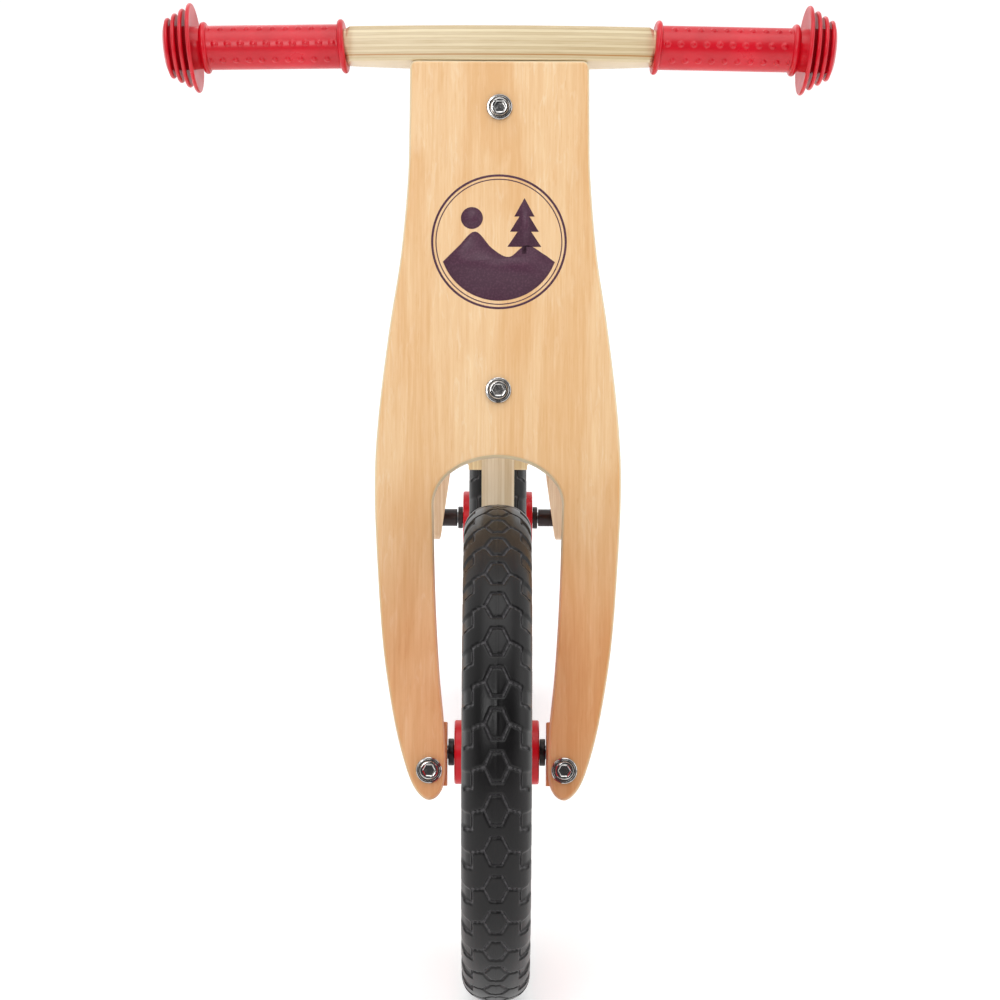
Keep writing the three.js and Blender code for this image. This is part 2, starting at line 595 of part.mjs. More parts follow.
/** Through bolt of the rear stays: head on the right, nut on the left. */
function addStayBolt(word, [y, z], frame) {
  const outer = BEAM_THICKNESS / 2 + GAP + STAY_THICKNESS + STAY_SLOPE * (y - STAY_FRONT_Y) + 2;
  addNode(`stay_bolt_${word}`, crossBolt(-outer, outer + 4, SCREW_RADIUS, [y, z]), CHROME, frame);
  addNode(`stay_nut_${word}`, domedNut(1, outer, [y, z], SCREW_HOLE), CHROME, frame);
}

/** Spacer tube on the rear axle between the collar and a stay. */
function rearTube(side) {
  const start = HUB_HALF_WIDTH + COLLAR_LENGTH + GAP;
  const [a, b] = span(side, start, STAY_AT_AXLE - STAY_SLOPE * REAR_TUBE_RADIUS - GAP);
  return rod('x', REAR_TUBE_RADIUS, a, b, [0, 0], 16)
    .subtract(rod('x', AXLE_RADIUS + GAP, a - 1, b + 1, [0, 0], 16));
}

/** Beam, stays, bushes, cross bolts and rear axle. */
function addFrame(frame) {
  addNode('frame_beam', frameBeam(), LAMINATED, frame);
  addNode('head_bush_lower', inFork(headBush(0)), NYLON, frame);
  addNode('head_bush_upper', inFork(headBush(1)), NYLON, frame);
  for (const [word, side] of SIDES) {
    addNode(`head_plate_${word}`, headPlate(side), BIRCH, frame);
    addNode(`rear_stay_${word}`, rearStay(side), BIRCH, frame);
    addNode(`stay_wedge_${word}`, stayWedge(side), BIRCH, frame);
  }
  addStayBolt('front', STAY_BOLTS[0], frame);
  addStayBolt('rear', STAY_BOLTS[1], frame);
  SEAT_BOLTS_Y.forEach((y, i) => {
    const word = ['front', 'rear'][i];
    const outer = BEAM_THICKNESS / 2 + 3 * GAP + CHEEK_THICKNESS;
    addNode(`seat_bolt_${word}`, crossBolt(-outer, outer + 4, SCREW_RADIUS, [y, SEAT_BOLT_Z]), CHROME, frame);
    addNode(`seat_nut_${word}`, domedNut(1, outer, [y, SEAT_BOLT_Z], SCREW_HOLE), CHROME, frame);
  });
  const rear = new THREE.Group();
  rear.position.set(0, ...REAR_AXLE);
  frame.add(rear);
  const nutX = STAY_AT_AXLE + STAY_THICKNESS + STAY_SLOPE * 8 + GAP;
  addNode('rear_axle', rod('x', AXLE_RADIUS, -nutX - 4, nutX + 4), STEEL, rear);
  for (const [word, side] of SIDES) {
    addNode(`rear_collar_${word}`, collar(side), BLACK, rear);
    addNode(`rear_tube_${word}`, rearTube(side), BLACK, rear);
    addNode(`rear_axle_nut_${word}`, domedNut(side, nutX, [0, 0], AXLE_RADIUS + GAP), STEEL, rear);
  }
}

// ---------------------------------------------------------------- seat

/** Seat outline from above: round tail, sides drawn in to a narrower round nose. */
function seatOutline(halfLength, halfWidth) {
  const shape = new THREE.Shape();
  const y = SEAT_CENTRE_Y;
  shape.moveTo(0, y + halfLength);
  shape.bezierCurveTo(-halfWidth, y + halfLength, -halfWidth, y + halfLength * 0.5,
    -halfWidth, y + halfLength * 0.28);
  shape.bezierCurveTo(-halfWidth, y - halfLength * 0.3, -halfWidth * 0.62, y - halfLength * 0.4,
    -halfWidth * 0.58, y - halfLength * 0.72);
  shape.bezierCurveTo(-halfWidth * 0.5, y - halfLength, -halfWidth * 0.2, y - halfLength,
    0, y - halfLength);
  shape.bezierCurveTo(halfWidth * 0.2, y - halfLength, halfWidth * 0.5, y - halfLength,
    halfWidth * 0.58, y - halfLength * 0.72);
  shape.bezierCurveTo(halfWidth * 0.62, y - halfLength * 0.4, halfWidth, y - halfLength * 0.3,
    halfWidth, y + halfLength * 0.28);
  shape.bezierCurveTo(halfWidth, y + halfLength * 0.5, halfWidth, y + halfLength, 0, y + halfLength);
  return shape;
}

/** Cheek beside the beam, with two upright slots for the seat bolts. */
function seatCheek(side) {
  const half = BEAM_THICKNESS / 2 + GAP;
  const [a, b] = span(side, half, half + CHEEK_THICKNESS);
  let cheek = box(a, b, ...CHEEK_Y, ...CHEEK_Z);
  for (const y of SEAT_BOLTS_Y) {
    const low = SEAT_BOLT_Z - SEAT_TRAVEL;
    cheek = cheek.subtract(box(a - 1, b + 1, y - 3.4, y + 3.4, low, SEAT_BOLT_Z))
      .subtract(rod('x', 3.4, a - 1, b + 1, [y, low], 16))
      .subtract(rod('x', 3.4, a - 1, b + 1, [y, SEAT_BOLT_Z], 16));
  }
  return cheek;
}

/** Cushion: three stacked outlines, so the solid is crowned and stays convex from above. */
function seatCushion(bottom) {
  const rise = CUSHION_HEIGHT;
  return plateXY(seatOutline(112, 56), bottom, bottom + rise * 0.7, 5)
    .add(plateXY(seatOutline(106, 49), bottom + rise * 0.6, bottom + rise * 0.9, 5))
    .add(plateXY(seatOutline(94, 38), bottom + rise * 0.8, bottom + rise, 5));
}

/** Cheeks, base and cushion. */
function addSeat(seat) {
  const base = CHEEK_Z[1] + GAP;
  for (const [word, side] of SIDES) addNode(`seat_cheek_${word}`, seatCheek(side), BIRCH, seat);
  addNode('seat_base', plateXY(seatOutline(108, 52), base, base + SEAT_BASE_THICKNESS, 6), BIRCH, seat);
  addNode('seat_cushion', seatCushion(base + SEAT_BASE_THICKNESS + GAP), SEAT_FABRIC, seat);
}

// ---------------------------------------------------------------- assembly

const bike = new THREE.Group();
const fork = new THREE.Group();
fork.position.set(0, ...FRONT_AXLE);
fork.rotation.x = -RAKE;
bike.add(fork);
addFork(fork);
addFrame(bike);
addSeat(bike);
for (const [word, axle] of [['front', FRONT_AXLE], ['rear', REAR_AXLE]]) {
  const wheel = new THREE.Group();
  wheel.position.set(0, ...axle);
  bike.add(wheel);
  addWheel(word, wheel);
}

export default bike;
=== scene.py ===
import json
import bmesh
import bpy
import numpy as np
from math import radians, pi
from mathutils import Matrix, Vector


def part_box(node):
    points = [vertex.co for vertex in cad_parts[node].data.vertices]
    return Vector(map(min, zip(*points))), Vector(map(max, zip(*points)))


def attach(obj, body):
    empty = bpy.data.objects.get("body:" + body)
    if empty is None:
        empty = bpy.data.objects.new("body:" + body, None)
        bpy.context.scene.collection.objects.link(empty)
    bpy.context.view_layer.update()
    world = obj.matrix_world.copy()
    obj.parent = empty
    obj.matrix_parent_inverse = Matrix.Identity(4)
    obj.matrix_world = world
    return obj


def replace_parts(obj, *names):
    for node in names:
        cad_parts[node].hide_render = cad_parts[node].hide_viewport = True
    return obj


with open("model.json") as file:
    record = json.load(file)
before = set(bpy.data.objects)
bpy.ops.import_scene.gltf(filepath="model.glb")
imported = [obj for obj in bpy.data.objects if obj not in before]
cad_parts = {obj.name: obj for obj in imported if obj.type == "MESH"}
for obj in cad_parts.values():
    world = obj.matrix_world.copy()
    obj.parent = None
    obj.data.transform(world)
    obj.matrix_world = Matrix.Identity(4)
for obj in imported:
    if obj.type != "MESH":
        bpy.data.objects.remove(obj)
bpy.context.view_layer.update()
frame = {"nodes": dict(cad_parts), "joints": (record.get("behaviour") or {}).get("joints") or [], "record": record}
nodes = frame["nodes"]
joints = {joint["name"]: joint for joint in frame["joints"]}

# ---- Camera, floor and light -------------------------------------------------------------------------
# The bike is seen from straight ahead and a little above, on a pale studio floor under large soft
# lamps, with a bright even surround.
CAMERA_PLACE = (0.0, -2.6045, 0.880)
CAMERA_DOWN = 14.0
CAMERA_ROLL = 0.25
LENS = 147.6

camera = bpy.data.objects.new("camera", bpy.data.cameras.new("camera"))
bpy.context.scene.collection.objects.link(camera)
camera.matrix_world = (Matrix.Translation(CAMERA_PLACE)
                       @ Matrix.Rotation(radians(90 - CAMERA_DOWN), 4, "X")
                       @ Matrix.Rotation(radians(CAMERA_ROLL), 4, "Z"))
camera.data.lens = LENS
camera.data.shift_x = 0.0022
camera.data.clip_end = 30
bpy.context.scene.camera = camera
bpy.context.scene.view_settings.view_transform = "Standard"


def area_lamp(name, place, aim, size, power):
    """Square soft lamp at a place, turned to shine at another."""
    lamp = bpy.data.objects.new(name, bpy.data.lights.new(name, "AREA"))
    lamp.data.size = size
    lamp.data.energy = power
    lamp.location = place
    direction = Matrix.Translation(aim).translation - Matrix.Translation(place).translation
    lamp.rotation_euler = direction.to_track_quat("-Z", "Y").to_euler()
    bpy.context.scene.collection.objects.link(lamp)


area_lamp("top_softbox", (0.0, -0.7, 2.2), (0, 0, 0.3), 1.6, 14)
area_lamp("front_softbox", (-0.7, -2.4, 1.7), (0, -0.2, 0.4), 0.9, 15)
area_lamp("side_softbox", (1.8, -0.6, 1.0), (0, 0, 0.3), 1.2, 4)
area_lamp("back_softbox", (-0.6, 2.2, 1.5), (0, 0, 0.3), 1.4, 5)

world = bpy.data.worlds.new("studio")
bpy.context.scene.world = world
world.use_nodes = True


def add_piece(name, points, faces, sharp=35.0):
    """Mesh object from an array of points and a list of faces; edges sharper than the angle stay
    crisp."""
    mesh = bpy.data.meshes.new(name)
    mesh.from_pydata(points.tolist(), [], faces)
    mesh.update()
    mesh.shade_smooth()
    mesh.set_sharp_from_angle(angle=radians(sharp))
    piece = bpy.data.objects.new(name, mesh)
    bpy.context.scene.collection.objects.link(piece)
    return piece


def rgb(code):
    """Linear colour with alpha from a hexadecimal code."""
    parts = np.array([int(code[i:i + 2], 16) for i in (0, 2, 4)]) / 255
    linear = np.where(parts <= 0.04045, parts / 12.92, ((parts + 0.055) / 1.055) ** 2.4)
    return (*linear.tolist(), 1.0)


def put(tree, kind, props=None, **values):
    """Adds a shader node. A value is a number or a socket to link; i0, i1 ... name an input by its
    place."""
    node = tree.nodes.new(kind)
    for key, value in (props or {}).items():
        setattr(node, key, value)
    for key, value in values.items():
        socket = node.inputs[int(key[1:])] if key[0] == "i" and key[1:].isdigit() else node.inputs[key]
        if isinstance(value, bpy.types.NodeSocket):
            tree.links.new(value, socket)
        else:
            socket.default_value = value
    return node


def math(tree, operation, a, b=0.0, c=0.0):
    """One sum of up to three numbers or sockets."""
    return put(tree, "ShaderNodeMath", {"operation": operation}, i0=a, i1=b, i2=c).outputs[0]


def blend_colour(tree, factor, a, b, how="MIX"):
    """Mix of two colours by a factor."""
    node = put(tree, "ShaderNodeMix", {"data_type": "RGBA", "blend_type": how}, i0=factor, i6=a, i7=b)
    return node.outputs[2]


def ramp(tree, value, low, high, to_low=0.0, to_high=1.0):
    """Value carried from one range to another, held at both ends."""
    node = put(tree, "ShaderNodeMapRange", Value=value)
    for key, number in (("From Min", low), ("From Max", high), ("To Min", to_low), ("To Max", to_high)):
        node.inputs[key].default_value = number
    return node.outputs[0]


def new_material(name, roughness, metallic=0.0):
    """Named material with its shader; returns the material, its nodes and the shader."""
    material = bpy.data.materials.new(name)
    material.use_nodes = True
    shader = material.node_tree.nodes["Principled BSDF"]
    shader.inputs["Roughness"].default_value = roughness
    shader.inputs["Metallic"].default_value = metallic
    return material, material.node_tree, shader


def dress(piece, material):
    """Gives the whole piece one material."""
    piece.data.materials.clear()
    piece.data.materials.append(material)


tree = world.node_tree
heading = put(tree, "ShaderNodeSeparateXYZ",
              Vector=tree.nodes.new("ShaderNodeTexCoord").outputs["Generated"])
room = blend_colour(tree, ramp(tree, heading.outputs[1], -0.75, -0.1), rgb("4a4a4c"), rgb("ffffff"))
tree.links.new(room, tree.nodes["Background"].inputs["Color"])

floor_material, tree, shader = new_material("studio_floor", 0.9)
shader.inputs["Emission Color"].default_value = (1, 1, 1, 1)
shader.inputs["Emission Strength"].default_value = 0.45
shader.inputs["Base Color"].default_value = (0.75, 0.75, 0.75, 1)
side = 6.0
floor = add_piece("floor", np.array([[-side, -side, 0], [side, -side, 0], [side, side, 0],
                                     [-side, side, 0]]),
                  [(0, 1, 2, 3)])
dress(floor, floor_material)

# ---- Fork board --------------------------------------------------------------------------------------
# One plate of birch plywood, 15 mm thick, cut to a bottle shape with an arch and two legs over the
# wheel. Its edges are rounded over, which bares the pale plies, and it is varnished. Two bolts hold it
# to the head blocks.
steer_axis = np.array(joints["steering"]["axis"])
RAKE = float(np.arctan2(steer_axis[1], steer_axis[2]))
front_axle = np.array(joints["front_wheel_spin"]["pos_m"])
rear_axle = np.array(joints["rear_wheel_spin"]["pos_m"])
MM = 0.001


def from_fork(points):
    """Millimetres beside the fork (x, back across the board, up along it) to metres in the bike's
    place."""
    x, y, z = np.moveaxis(np.asarray(points, float) * MM, -1, 0)
    return np.stack([x, front_axle[1] + y * np.cos(RAKE) + z * np.sin(RAKE),
                     front_axle[2] - y * np.sin(RAKE) + z * np.cos(RAKE)], -1)


def through(points, steps=8):
    """Smooth curve through points: each stretch is a cubic whose slope at a point is half the way
    between its neighbours."""
    p = np.asarray(points, float)
    padded = np.vstack([2 * p[0] - p[1], p, 2 * p[-1] - p[-2]])
    t = np.linspace(0, 1, steps, endpoint=False)[:, None]
    a, b, c, d = (padded[i:len(p) - 1 + i][:, None] for i in range(4))
    curve = 0.5 * (2 * b + (c - a) * t + (2 * a - 5 * b + 4 * c - d) * t ** 2
                   + (3 * b - a - 3 * c + d) * t ** 3)
    return np.vstack([curve.reshape(-1, p.shape[1]), p[-1:]])


def arc(cx, cz, rx, rz, start, end, steps):
    """Part of an ellipse from one angle to another, in degrees."""
    t = np.radians(np.linspace(start, end, steps))
    return np.stack([cx + rx * np.cos(t), cz + rz * np.sin(t)], -1)


def inset(outline, distance):
    """Closed outline moved inwards by a distance, along the line that halves the angle at each point.
    The sign of its enclosed area tells which way round it runs."""
    ahead = np.roll(outline, -1, 0) - outline
    back = outline - np.roll(outline, 1, 0)
    along = (ahead / np.linalg.norm(ahead, axis=1)[:, None]
             + back / np.linalg.norm(back, axis=1)[:, None])
    along /= np.linalg.norm(along, axis=1)[:, None]
    turn = np.sign(np.sum(outline[:, 0] * np.roll(outline[:, 1], -1)
                          - outline[:, 1] * np.roll(outline[:, 0], -1)))
    return outline + distance * turn * np.stack([-along[:, 1], along[:, 0]], -1)


def rounded_plate(name, outline, low, high, radius, place, steps=4):
    """Plate of a closed outline whose edges are quarter rounds. Rings of the outline, moved inwards by
    radius times one minus the sine, step through the thickness; both faces close it."""
    turn = np.linspace(0, pi / 2, steps + 1)
    depth = np.concatenate([low + radius * (1 - np.cos(turn)),
                            high - radius * (1 - np.cos(turn[::-1]))])
    pulled = np.concatenate([radius * (1 - np.sin(turn)), radius * (1 - np.sin(turn[::-1]))])
    rings = [np.insert(inset(outline, d), 1, y, axis=1) for y, d in zip(depth, pulled)]
    return closed_tube(name, place(np.stack(rings)))


def tube_faces(rings, around):
    """Faces of a grid of rings whose points close round each ring."""
    ring, spot = np.meshgrid(np.arange(rings - 1), np.arange(around), indexing="ij")
    after = (spot + 1) % around
    quads = np.stack([ring * around + spot, ring * around + after, (ring + 1) * around + after,
                      (ring + 1) * around + spot], -1)
    return quads.reshape(-1, 4).tolist()


def closed_tube(name, points, sharp=35.0):
    """Piece from rings of points in metres, closed by a flat face at each end."""
    count, around = points.shape[:2]
    caps = [tuple(range(around)), tuple(range((count - 1) * around, count * around))[::-1]]
    return face_outwards(add_piece(name, points.reshape(-1, 3), tube_faces(count, around) + caps, sharp))


def face_outwards(piece):
    """Turns every face of a closed piece outwards."""
    bpy.context.view_layer.objects.active = piece
    piece.select_set(True)
    bpy.ops.object.mode_set(mode="EDIT")
    bpy.ops.mesh.select_all(action="SELECT")
    bpy.ops.mesh.normals_make_consistent(inside=False)
    bpy.ops.object.mode_set(mode="OBJECT")
    piece.select_set(False)
    return piece


BOARD_FRONT, BOARD_BACK, BOARD_TOP = -35.0, -20.0, 408.0
EDGE_ROUND, CORNER_ROUND = 1.9, 4
ARCH_HALF, ARCH_RISE, ARCH_START = 38, 28, 145
SHOULDER = [(53, 400), (53.2, 369), (53.9, 337), (57.8, 292), (64.4, 248), (70.4, 197), (72.4, 155),
            (70, 102), (66.4, 58), (60, 18), (53.4, -8), (47.5, -22), (40, -28.3), (33, -24), (30, -12),
            (30.6, 12), (34, 48), (36.6, 95), (38, 145)]
right_edge = through(SHOULDER)
corner = arc(49, BOARD_TOP - CORNER_ROUND, CORNER_ROUND, CORNER_ROUND, 90, 0, 6)
arch = arc(0, ARCH_START, ARCH_HALF, ARCH_RISE, 0, 180, 41)[1:-1]
half = np.vstack([corner, right_edge])
board_outline = np.vstack([half, arch, (half * (-1, 1))[::-1]])
fork_board = rounded_plate("front_board", board_outline, BOARD_FRONT, BOARD_BACK, EDGE_ROUND, from_fork)

grain_group = bpy.data.node_groups.new("wood_grain", "ShaderNodeTree")
for label, kind in (("Place", "NodeSocketVector"), ("Light", "NodeSocketColor"),
                    ("Dark", "NodeSocketColor"), ("Figure", "NodeSocketFloat")):
    grain_group.interface.new_socket(label, in_out="INPUT", socket_type=kind)
for label, kind in (("Colour", "NodeSocketColor"), ("Height", "NodeSocketFloat")):
    grain_group.interface.new_socket(label, in_out="OUTPUT", socket_type=kind)
tree = grain_group
given = tree.nodes.new("NodeGroupInput").outputs
wide = put(tree, "ShaderNodeMapping", Vector=given["Place"], Scale=(1, 1, 0.13)).outputs[0]
fine = put(tree, "ShaderNodeMapping", Vector=given["Place"], Scale=(1, 1, 0.03)).outputs[0]
short = put(tree, "ShaderNodeMapping", Vector=given["Place"], Scale=(1, 1, 0.09)).outputs[0]
flame = put(tree, "ShaderNodeTexNoise", Vector=wide, Scale=34, Detail=5, Roughness=0.55,
            Distortion=0.7).outputs[0]
bands = math(tree, "FRACT", math(tree, "MULTIPLY", flame, 7.0))
band_edge = ramp(tree, math(tree, "ABSOLUTE", math(tree, "SUBTRACT", bands, 0.5)), 0.1, 0.5)
fibre = put(tree, "ShaderNodeTexNoise", Vector=fine, Scale=900, Detail=3, Roughness=0.6).outputs[0]
pore = put(tree, "ShaderNodeTexNoise", Vector=short, Scale=1300, Detail=2, Roughness=0.5).outputs[0]
pores = ramp(tree, pore, 0.62, 0.75)
cloud = put(tree, "ShaderNodeTexNoise", Vector=given["Place"], Scale=14, Detail=3).outputs[0]
tone = math(tree, "MULTIPLY", given["Figure"], ramp(tree, flame, 0.35, 0.68))
tone = math(tree, "ADD", tone, math(tree, "MULTIPLY", band_edge, 0.22))
tone = math(tree, "ADD", tone, ramp(tree, cloud, 0.35, 0.7, 0.0, 0.35))
tone = math(tree, "ADD", tone, ramp(tree, fibre, 0.3, 0.7, -0.2, 0.28))
tone = math(tree, "ADD", tone, math(tree, "MULTIPLY", pores, 0.3))
colour = blend_colour(tree, ramp(tree, tone, 0.0, 1.15), given["Light"], given["Dark"])
slant = put(tree, "ShaderNodeMapping", Vector=given["Place"], Scale=(1, 1, 0.16),
            Rotation=(0, 0.12, 0)).outputs[0]
fleck = put(tree, "ShaderNodeTexNoise", Vector=slant, Scale=330, Detail=4, Roughness=0.6,
            Distortion=1.0).outputs[0]
fleck = math(tree, "MULTIPLY", ramp(tree, fleck, 0.54, 0.7), ramp(tree, flame, 0.4, 0.6, 0.42, 0.08))
colour = blend_colour(tree, fleck, colour, rgb("fbe6c6"))
result = tree.nodes.new("NodeGroupOutput")
tree.links.new(colour, result.inputs["Colour"])
tree.links.new(math(tree, "SUBTRACT", math(tree, "MULTIPLY", fibre, 0.4), pores),
               result.inputs["Height"])

layer_group = bpy.data.node_groups.new("wood_layers", "ShaderNodeTree")
for label, kind in (("Across", "NodeSocketFloat"), ("Thickness", "NodeSocketFloat"),
                    ("Place", "NodeSocketVector"), ("Pale", "NodeSocketColor"),
                    ("Deep", "NodeSocketColor")):
    layer_group.interface.new_socket(label, in_out="INPUT", socket_type=kind)
layer_group.interface.new_socket("Colour", in_out="OUTPUT", socket_type="NodeSocketColor")
tree = layer_group
given = tree.nodes.new("NodeGroupInput").outputs
wobble = put(tree, "ShaderNodeTexNoise", Vector=given["Place"], Scale=60, Detail=2).outputs[0]
moved = math(tree, "ADD", given["Across"], ramp(tree, wobble, 0.3, 0.7, -0.00012, 0.00012))
count = math(tree, "DIVIDE", moved, given["Thickness"])
layer = put(tree, "ShaderNodeTexWhiteNoise", {"noise_dimensions": "1D"},
            W=math(tree, "FLOOR", count)).outputs[0]
glue = ramp(tree, math(tree, "ABSOLUTE", math(tree, "SUBTRACT", math(tree, "FRACT", count), 0.5)), 0.4,
            0.5, 0, 0.45)
streak = put(tree, "ShaderNodeTexNoise", Vector=given["Place"], Scale=700, Detail=3,
             Roughness=0.7).outputs[0]
tone = math(tree, "ADD", math(tree, "MULTIPLY", layer, 0.75), glue)
tone = math(tree, "ADD", tone, ramp(tree, streak, 0.3, 0.7, -0.12, 0.2))
result = tree.nodes.new("NodeGroupOutput")
tree.links.new(blend_colour(tree, ramp(tree, tone, 0, 1.2), given["Pale"], given["Deep"]),
               result.inputs["Colour"])

# Scale of the layers' noise: full across the layers, drawn out along them.
LONG = {0: (1, 0.06, 0.06), 1: (0.06, 1, 0.06), 2: (0.06, 0.06, 1)}


def wood(name, across, tilt=0.0, light="f8d6a8", dark="e6b47b", pale="e9d7b3", deep="c8a473", ply=1.5,
         figure=0.8, grain_turn=(0, 0, 0), line=None, low_painted_shade=None):
    """Varnished wood whose layers lie across one axis (0, 1 or 2) of a frame tilted back about x. Faces
    that look along that axis show face grain, the others show the layers' edges. A line is one
    resin-brown layer at a place across them, in millimetres. A colour given for the lower end is
    multiplied in towards it as painted shade, darker where the light falls off."""
    material, tree, shader = new_material(name, 0.42)
    seen = tree.nodes.new("ShaderNodeTexCoord").outputs
    local = put(tree, "ShaderNodeMapping", {"vector_type": "TEXTURE"}, Vector=seen["Object"],
                Location=tuple(front_axle), Rotation=(-tilt, 0, 0)).outputs[0]
    facing = put(tree, "ShaderNodeVectorRotate", {"rotation_type": "X_AXIS"}, Vector=seen["Normal"],
                 Angle=tilt).outputs[0]
    turned = put(tree, "ShaderNodeMapping", Vector=local, Rotation=grain_turn).outputs[0]
    grain = tree.nodes.new("ShaderNodeGroup")
    grain.node_tree = grain_group
    tree.links.new(turned, grain.inputs["Place"])
    grain.inputs["Light"].default_value = rgb(light)
    grain.inputs["Dark"].default_value = rgb(dark)
    grain.inputs["Figure"].default_value = figure
    layers = tree.nodes.new("ShaderNodeGroup")
    layers.node_tree = layer_group
    place_parts = put(tree, "ShaderNodeSeparateXYZ", Vector=local).outputs
    facing_parts = put(tree, "ShaderNodeSeparateXYZ", Vector=facing).outputs
    tree.links.new(place_parts[across], layers.inputs["Across"])
    tree.links.new(put(tree, "ShaderNodeMapping", Vector=local, Scale=LONG[across]).outputs[0],
                   layers.inputs["Place"])
    layers.inputs["Thickness"].default_value = ply * MM
    layers.inputs["Pale"].default_value = rgb(pale)
    layers.inputs["Deep"].default_value = rgb(deep)
    edge = ramp(tree, math(tree, "ABSOLUTE", facing_parts[across]), 0.93, 0.8)
    edge_colour = layers.outputs["Colour"]
    if line is not None:
        away = math(tree, "ABSOLUTE", math(tree, "SUBTRACT", place_parts[across], line * MM))
        edge_colour = blend_colour(tree, ramp(tree, away, 0.0005, 0.0002), edge_colour, rgb("b98449"))
    colour = blend_colour(tree, edge, grain.outputs["Colour"], edge_colour)
    # Painted shade: from 0.17 m down to 0.06 m above the front axle the colour is multiplied darker, standing in
    # for the light falling off towards the floor.
    if low_painted_shade is not None:
        low = ramp(tree, place_parts[2], 0.17, 0.06)
        colour = blend_colour(tree, low, colour, rgb(low_painted_shade), "MULTIPLY")
    tree.links.new(colour, shader.inputs["Base Color"])
    tree.links.new(ramp(tree, grain.outputs["Height"], -0.6, 0.4, 0.5, 0.36),
                   shader.inputs["Roughness"])
    bump = put(tree, "ShaderNodeBump", Strength=0.12, Distance=0.0002, Height=grain.outputs["Height"])
    tree.links.new(bump.outputs[0], shader.inputs["Normal"])
    shader.inputs["Coat Weight"].default_value = 0.25
    shader.inputs["Coat Roughness"].default_value = 0.25
    return material


# Painted shade: the board's legs are multiplied darker towards their feet.
board_wood = wood("birch_board", across=1, tilt=RAKE, low_painted_shade="eedbcb")
dress(fork_board, board_wood)
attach(fork_board, "fork")
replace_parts(fork_board, "fork_board")

# ---- Printed emblem ----------------------------------------------------------------------------------
# A one-colour screen print on the varnish: a double ring round two hills, a low sun and a fir tree. It
# is plain ink, modelled as very thin plates on the board's face.
PRINT_MIDDLE, PRINT_LIFT, INK_THICKNESS = 300.0, 0.03, 0.00008
FIR_PLACE = (15, 6)
ink, tree, shader = new_material("aubergine_ink", 0.5)
seen = tree.nodes.new("ShaderNodeTexCoord").outputs
speck = put(tree, "ShaderNodeTexNoise", Vector=seen["Object"], Scale=900, Detail=3).outputs[0]
tree.links.new(blend_colour(tree, ramp(tree, speck, 0.45, 0.75), rgb("471d36"), rgb("5c3449")),
               shader.inputs["Base Color"])


def ring_band(radius, width, steps=96):
    """Flat ring as two outlines joined face by face."""
    outer = arc(0, 0, radius, radius, 0, 360, steps + 1)[:-1]
    inner = arc(0, 0, radius - width, radius - width, 0, 360, steps + 1)[:-1]
    return np.vstack([outer, inner]), tube_faces(2, steps)


def print_shape(outline):
    """Flat shape of one closed outline."""
    outline = np.asarray(outline, float)
    return outline, [list(range(len(outline)))]


hill_line = through([(-33, -12), (-24, -3), (-14, 6), (-4, -4), (6, -9), (16, -2), (26, -7), (33, -12)],
                    6)
ground = arc(0, 0, 35, 35, -20, -160, 40)
fir_outline = [(0, 20), (6, 9), (3, 9), (8.5, 0), (4, 0), (10, -9), (1.3, -9), (1.3, -13), (-1.3, -13),
               (-1.3, -9), (-10, -9), (-4, 0), (-8.5, 0), (-3, 9), (-6, 9)]
shapes = [ring_band(40, 1.3), ring_band(37.4, 0.6),
          print_shape(np.vstack([hill_line, ground[ground[:, 1] < -13]])),
          print_shape(arc(-16, 14, 6.5, 6.5, 0, 360, 33)[:-1]),
          print_shape(np.array(fir_outline) + FIR_PLACE)]
parts, faces, start = [], [], 0
for outline, shape_faces in shapes:
    parts.append(outline)
    faces += [[start + i for i in face] for face in shape_faces]
    start += len(outline)
flat = np.vstack(parts)
emblem_points = from_fork(np.stack([flat[:, 0], np.full(len(flat), BOARD_FRONT - PRINT_LIFT),
                                    flat[:, 1] + PRINT_MIDDLE], -1))
emblem = add_piece("printed_emblem", emblem_points, faces)
thickness = emblem.modifiers.new("ink_thickness", "SOLIDIFY")
thickness.thickness = INK_THICKNESS
thickness.offset = 0
dress(emblem, ink)
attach(emblem, "fork")

# ---- Handlebar ---------------------------------------------------------------------------------------
# Bowed bar sawn from laminated softwood, deepest in the middle and 21 mm thick, so that its front shows
# the layers as fine stripes with one resin-brown line. Its ends are turned down to round spigots for
# the grips.
BAR_BOTTOM, BAR_THICK, BAR_HALF, SWEEP = 408.3, 21.0, 89.0, radians(5)
BAR_EDGE, SPIGOT_RADIUS, TAPER, SPIGOT_END = 1.8, 10.5, 2.5, 189
BAR_MIDDLE = BAR_BOTTOM + BAR_THICK / 2


def rounded_ring(half_depth, half_height, radius, steps=7):
    """Points round a rectangle with quarter-round corners, starting at its back upper corner."""
    rings = [arc(sx * (half_depth - radius), sz * (half_height - radius), radius, radius, start,
                 start + 90, steps)
             for sx, sz, start in ((1, 1, 0), (-1, 1, 90), (-1, -1, 180), (1, -1, 270))]
    return np.vstack(rings)


def bar_section(x):
    """One ring of the bar at a distance from the middle: a rounded rectangle between the front and back
    faces, which bow by the square of the distance, then a circle on the swept spigot."""
    share = min(abs(x) / BAR_HALF, 1.0)
    front, back = -35 + 5 * share ** 2, 2 - 11 * share ** 2
    beyond = max(abs(x) - BAR_HALF, 0.0)
    turn = np.clip(beyond / TAPER, 0, 1)
    radius = BAR_EDGE + (SPIGOT_RADIUS - BAR_EDGE) * turn
    ring = rounded_ring((back - front) / 2 * (1 - turn) + SPIGOT_RADIUS * turn, BAR_THICK / 2, radius)
    middle = (front + back) / 2 + beyond * np.sin(SWEEP)
    return np.stack([np.full(len(ring), x), ring[:, 0] + middle, ring[:, 1] + BAR_MIDDLE], -1)


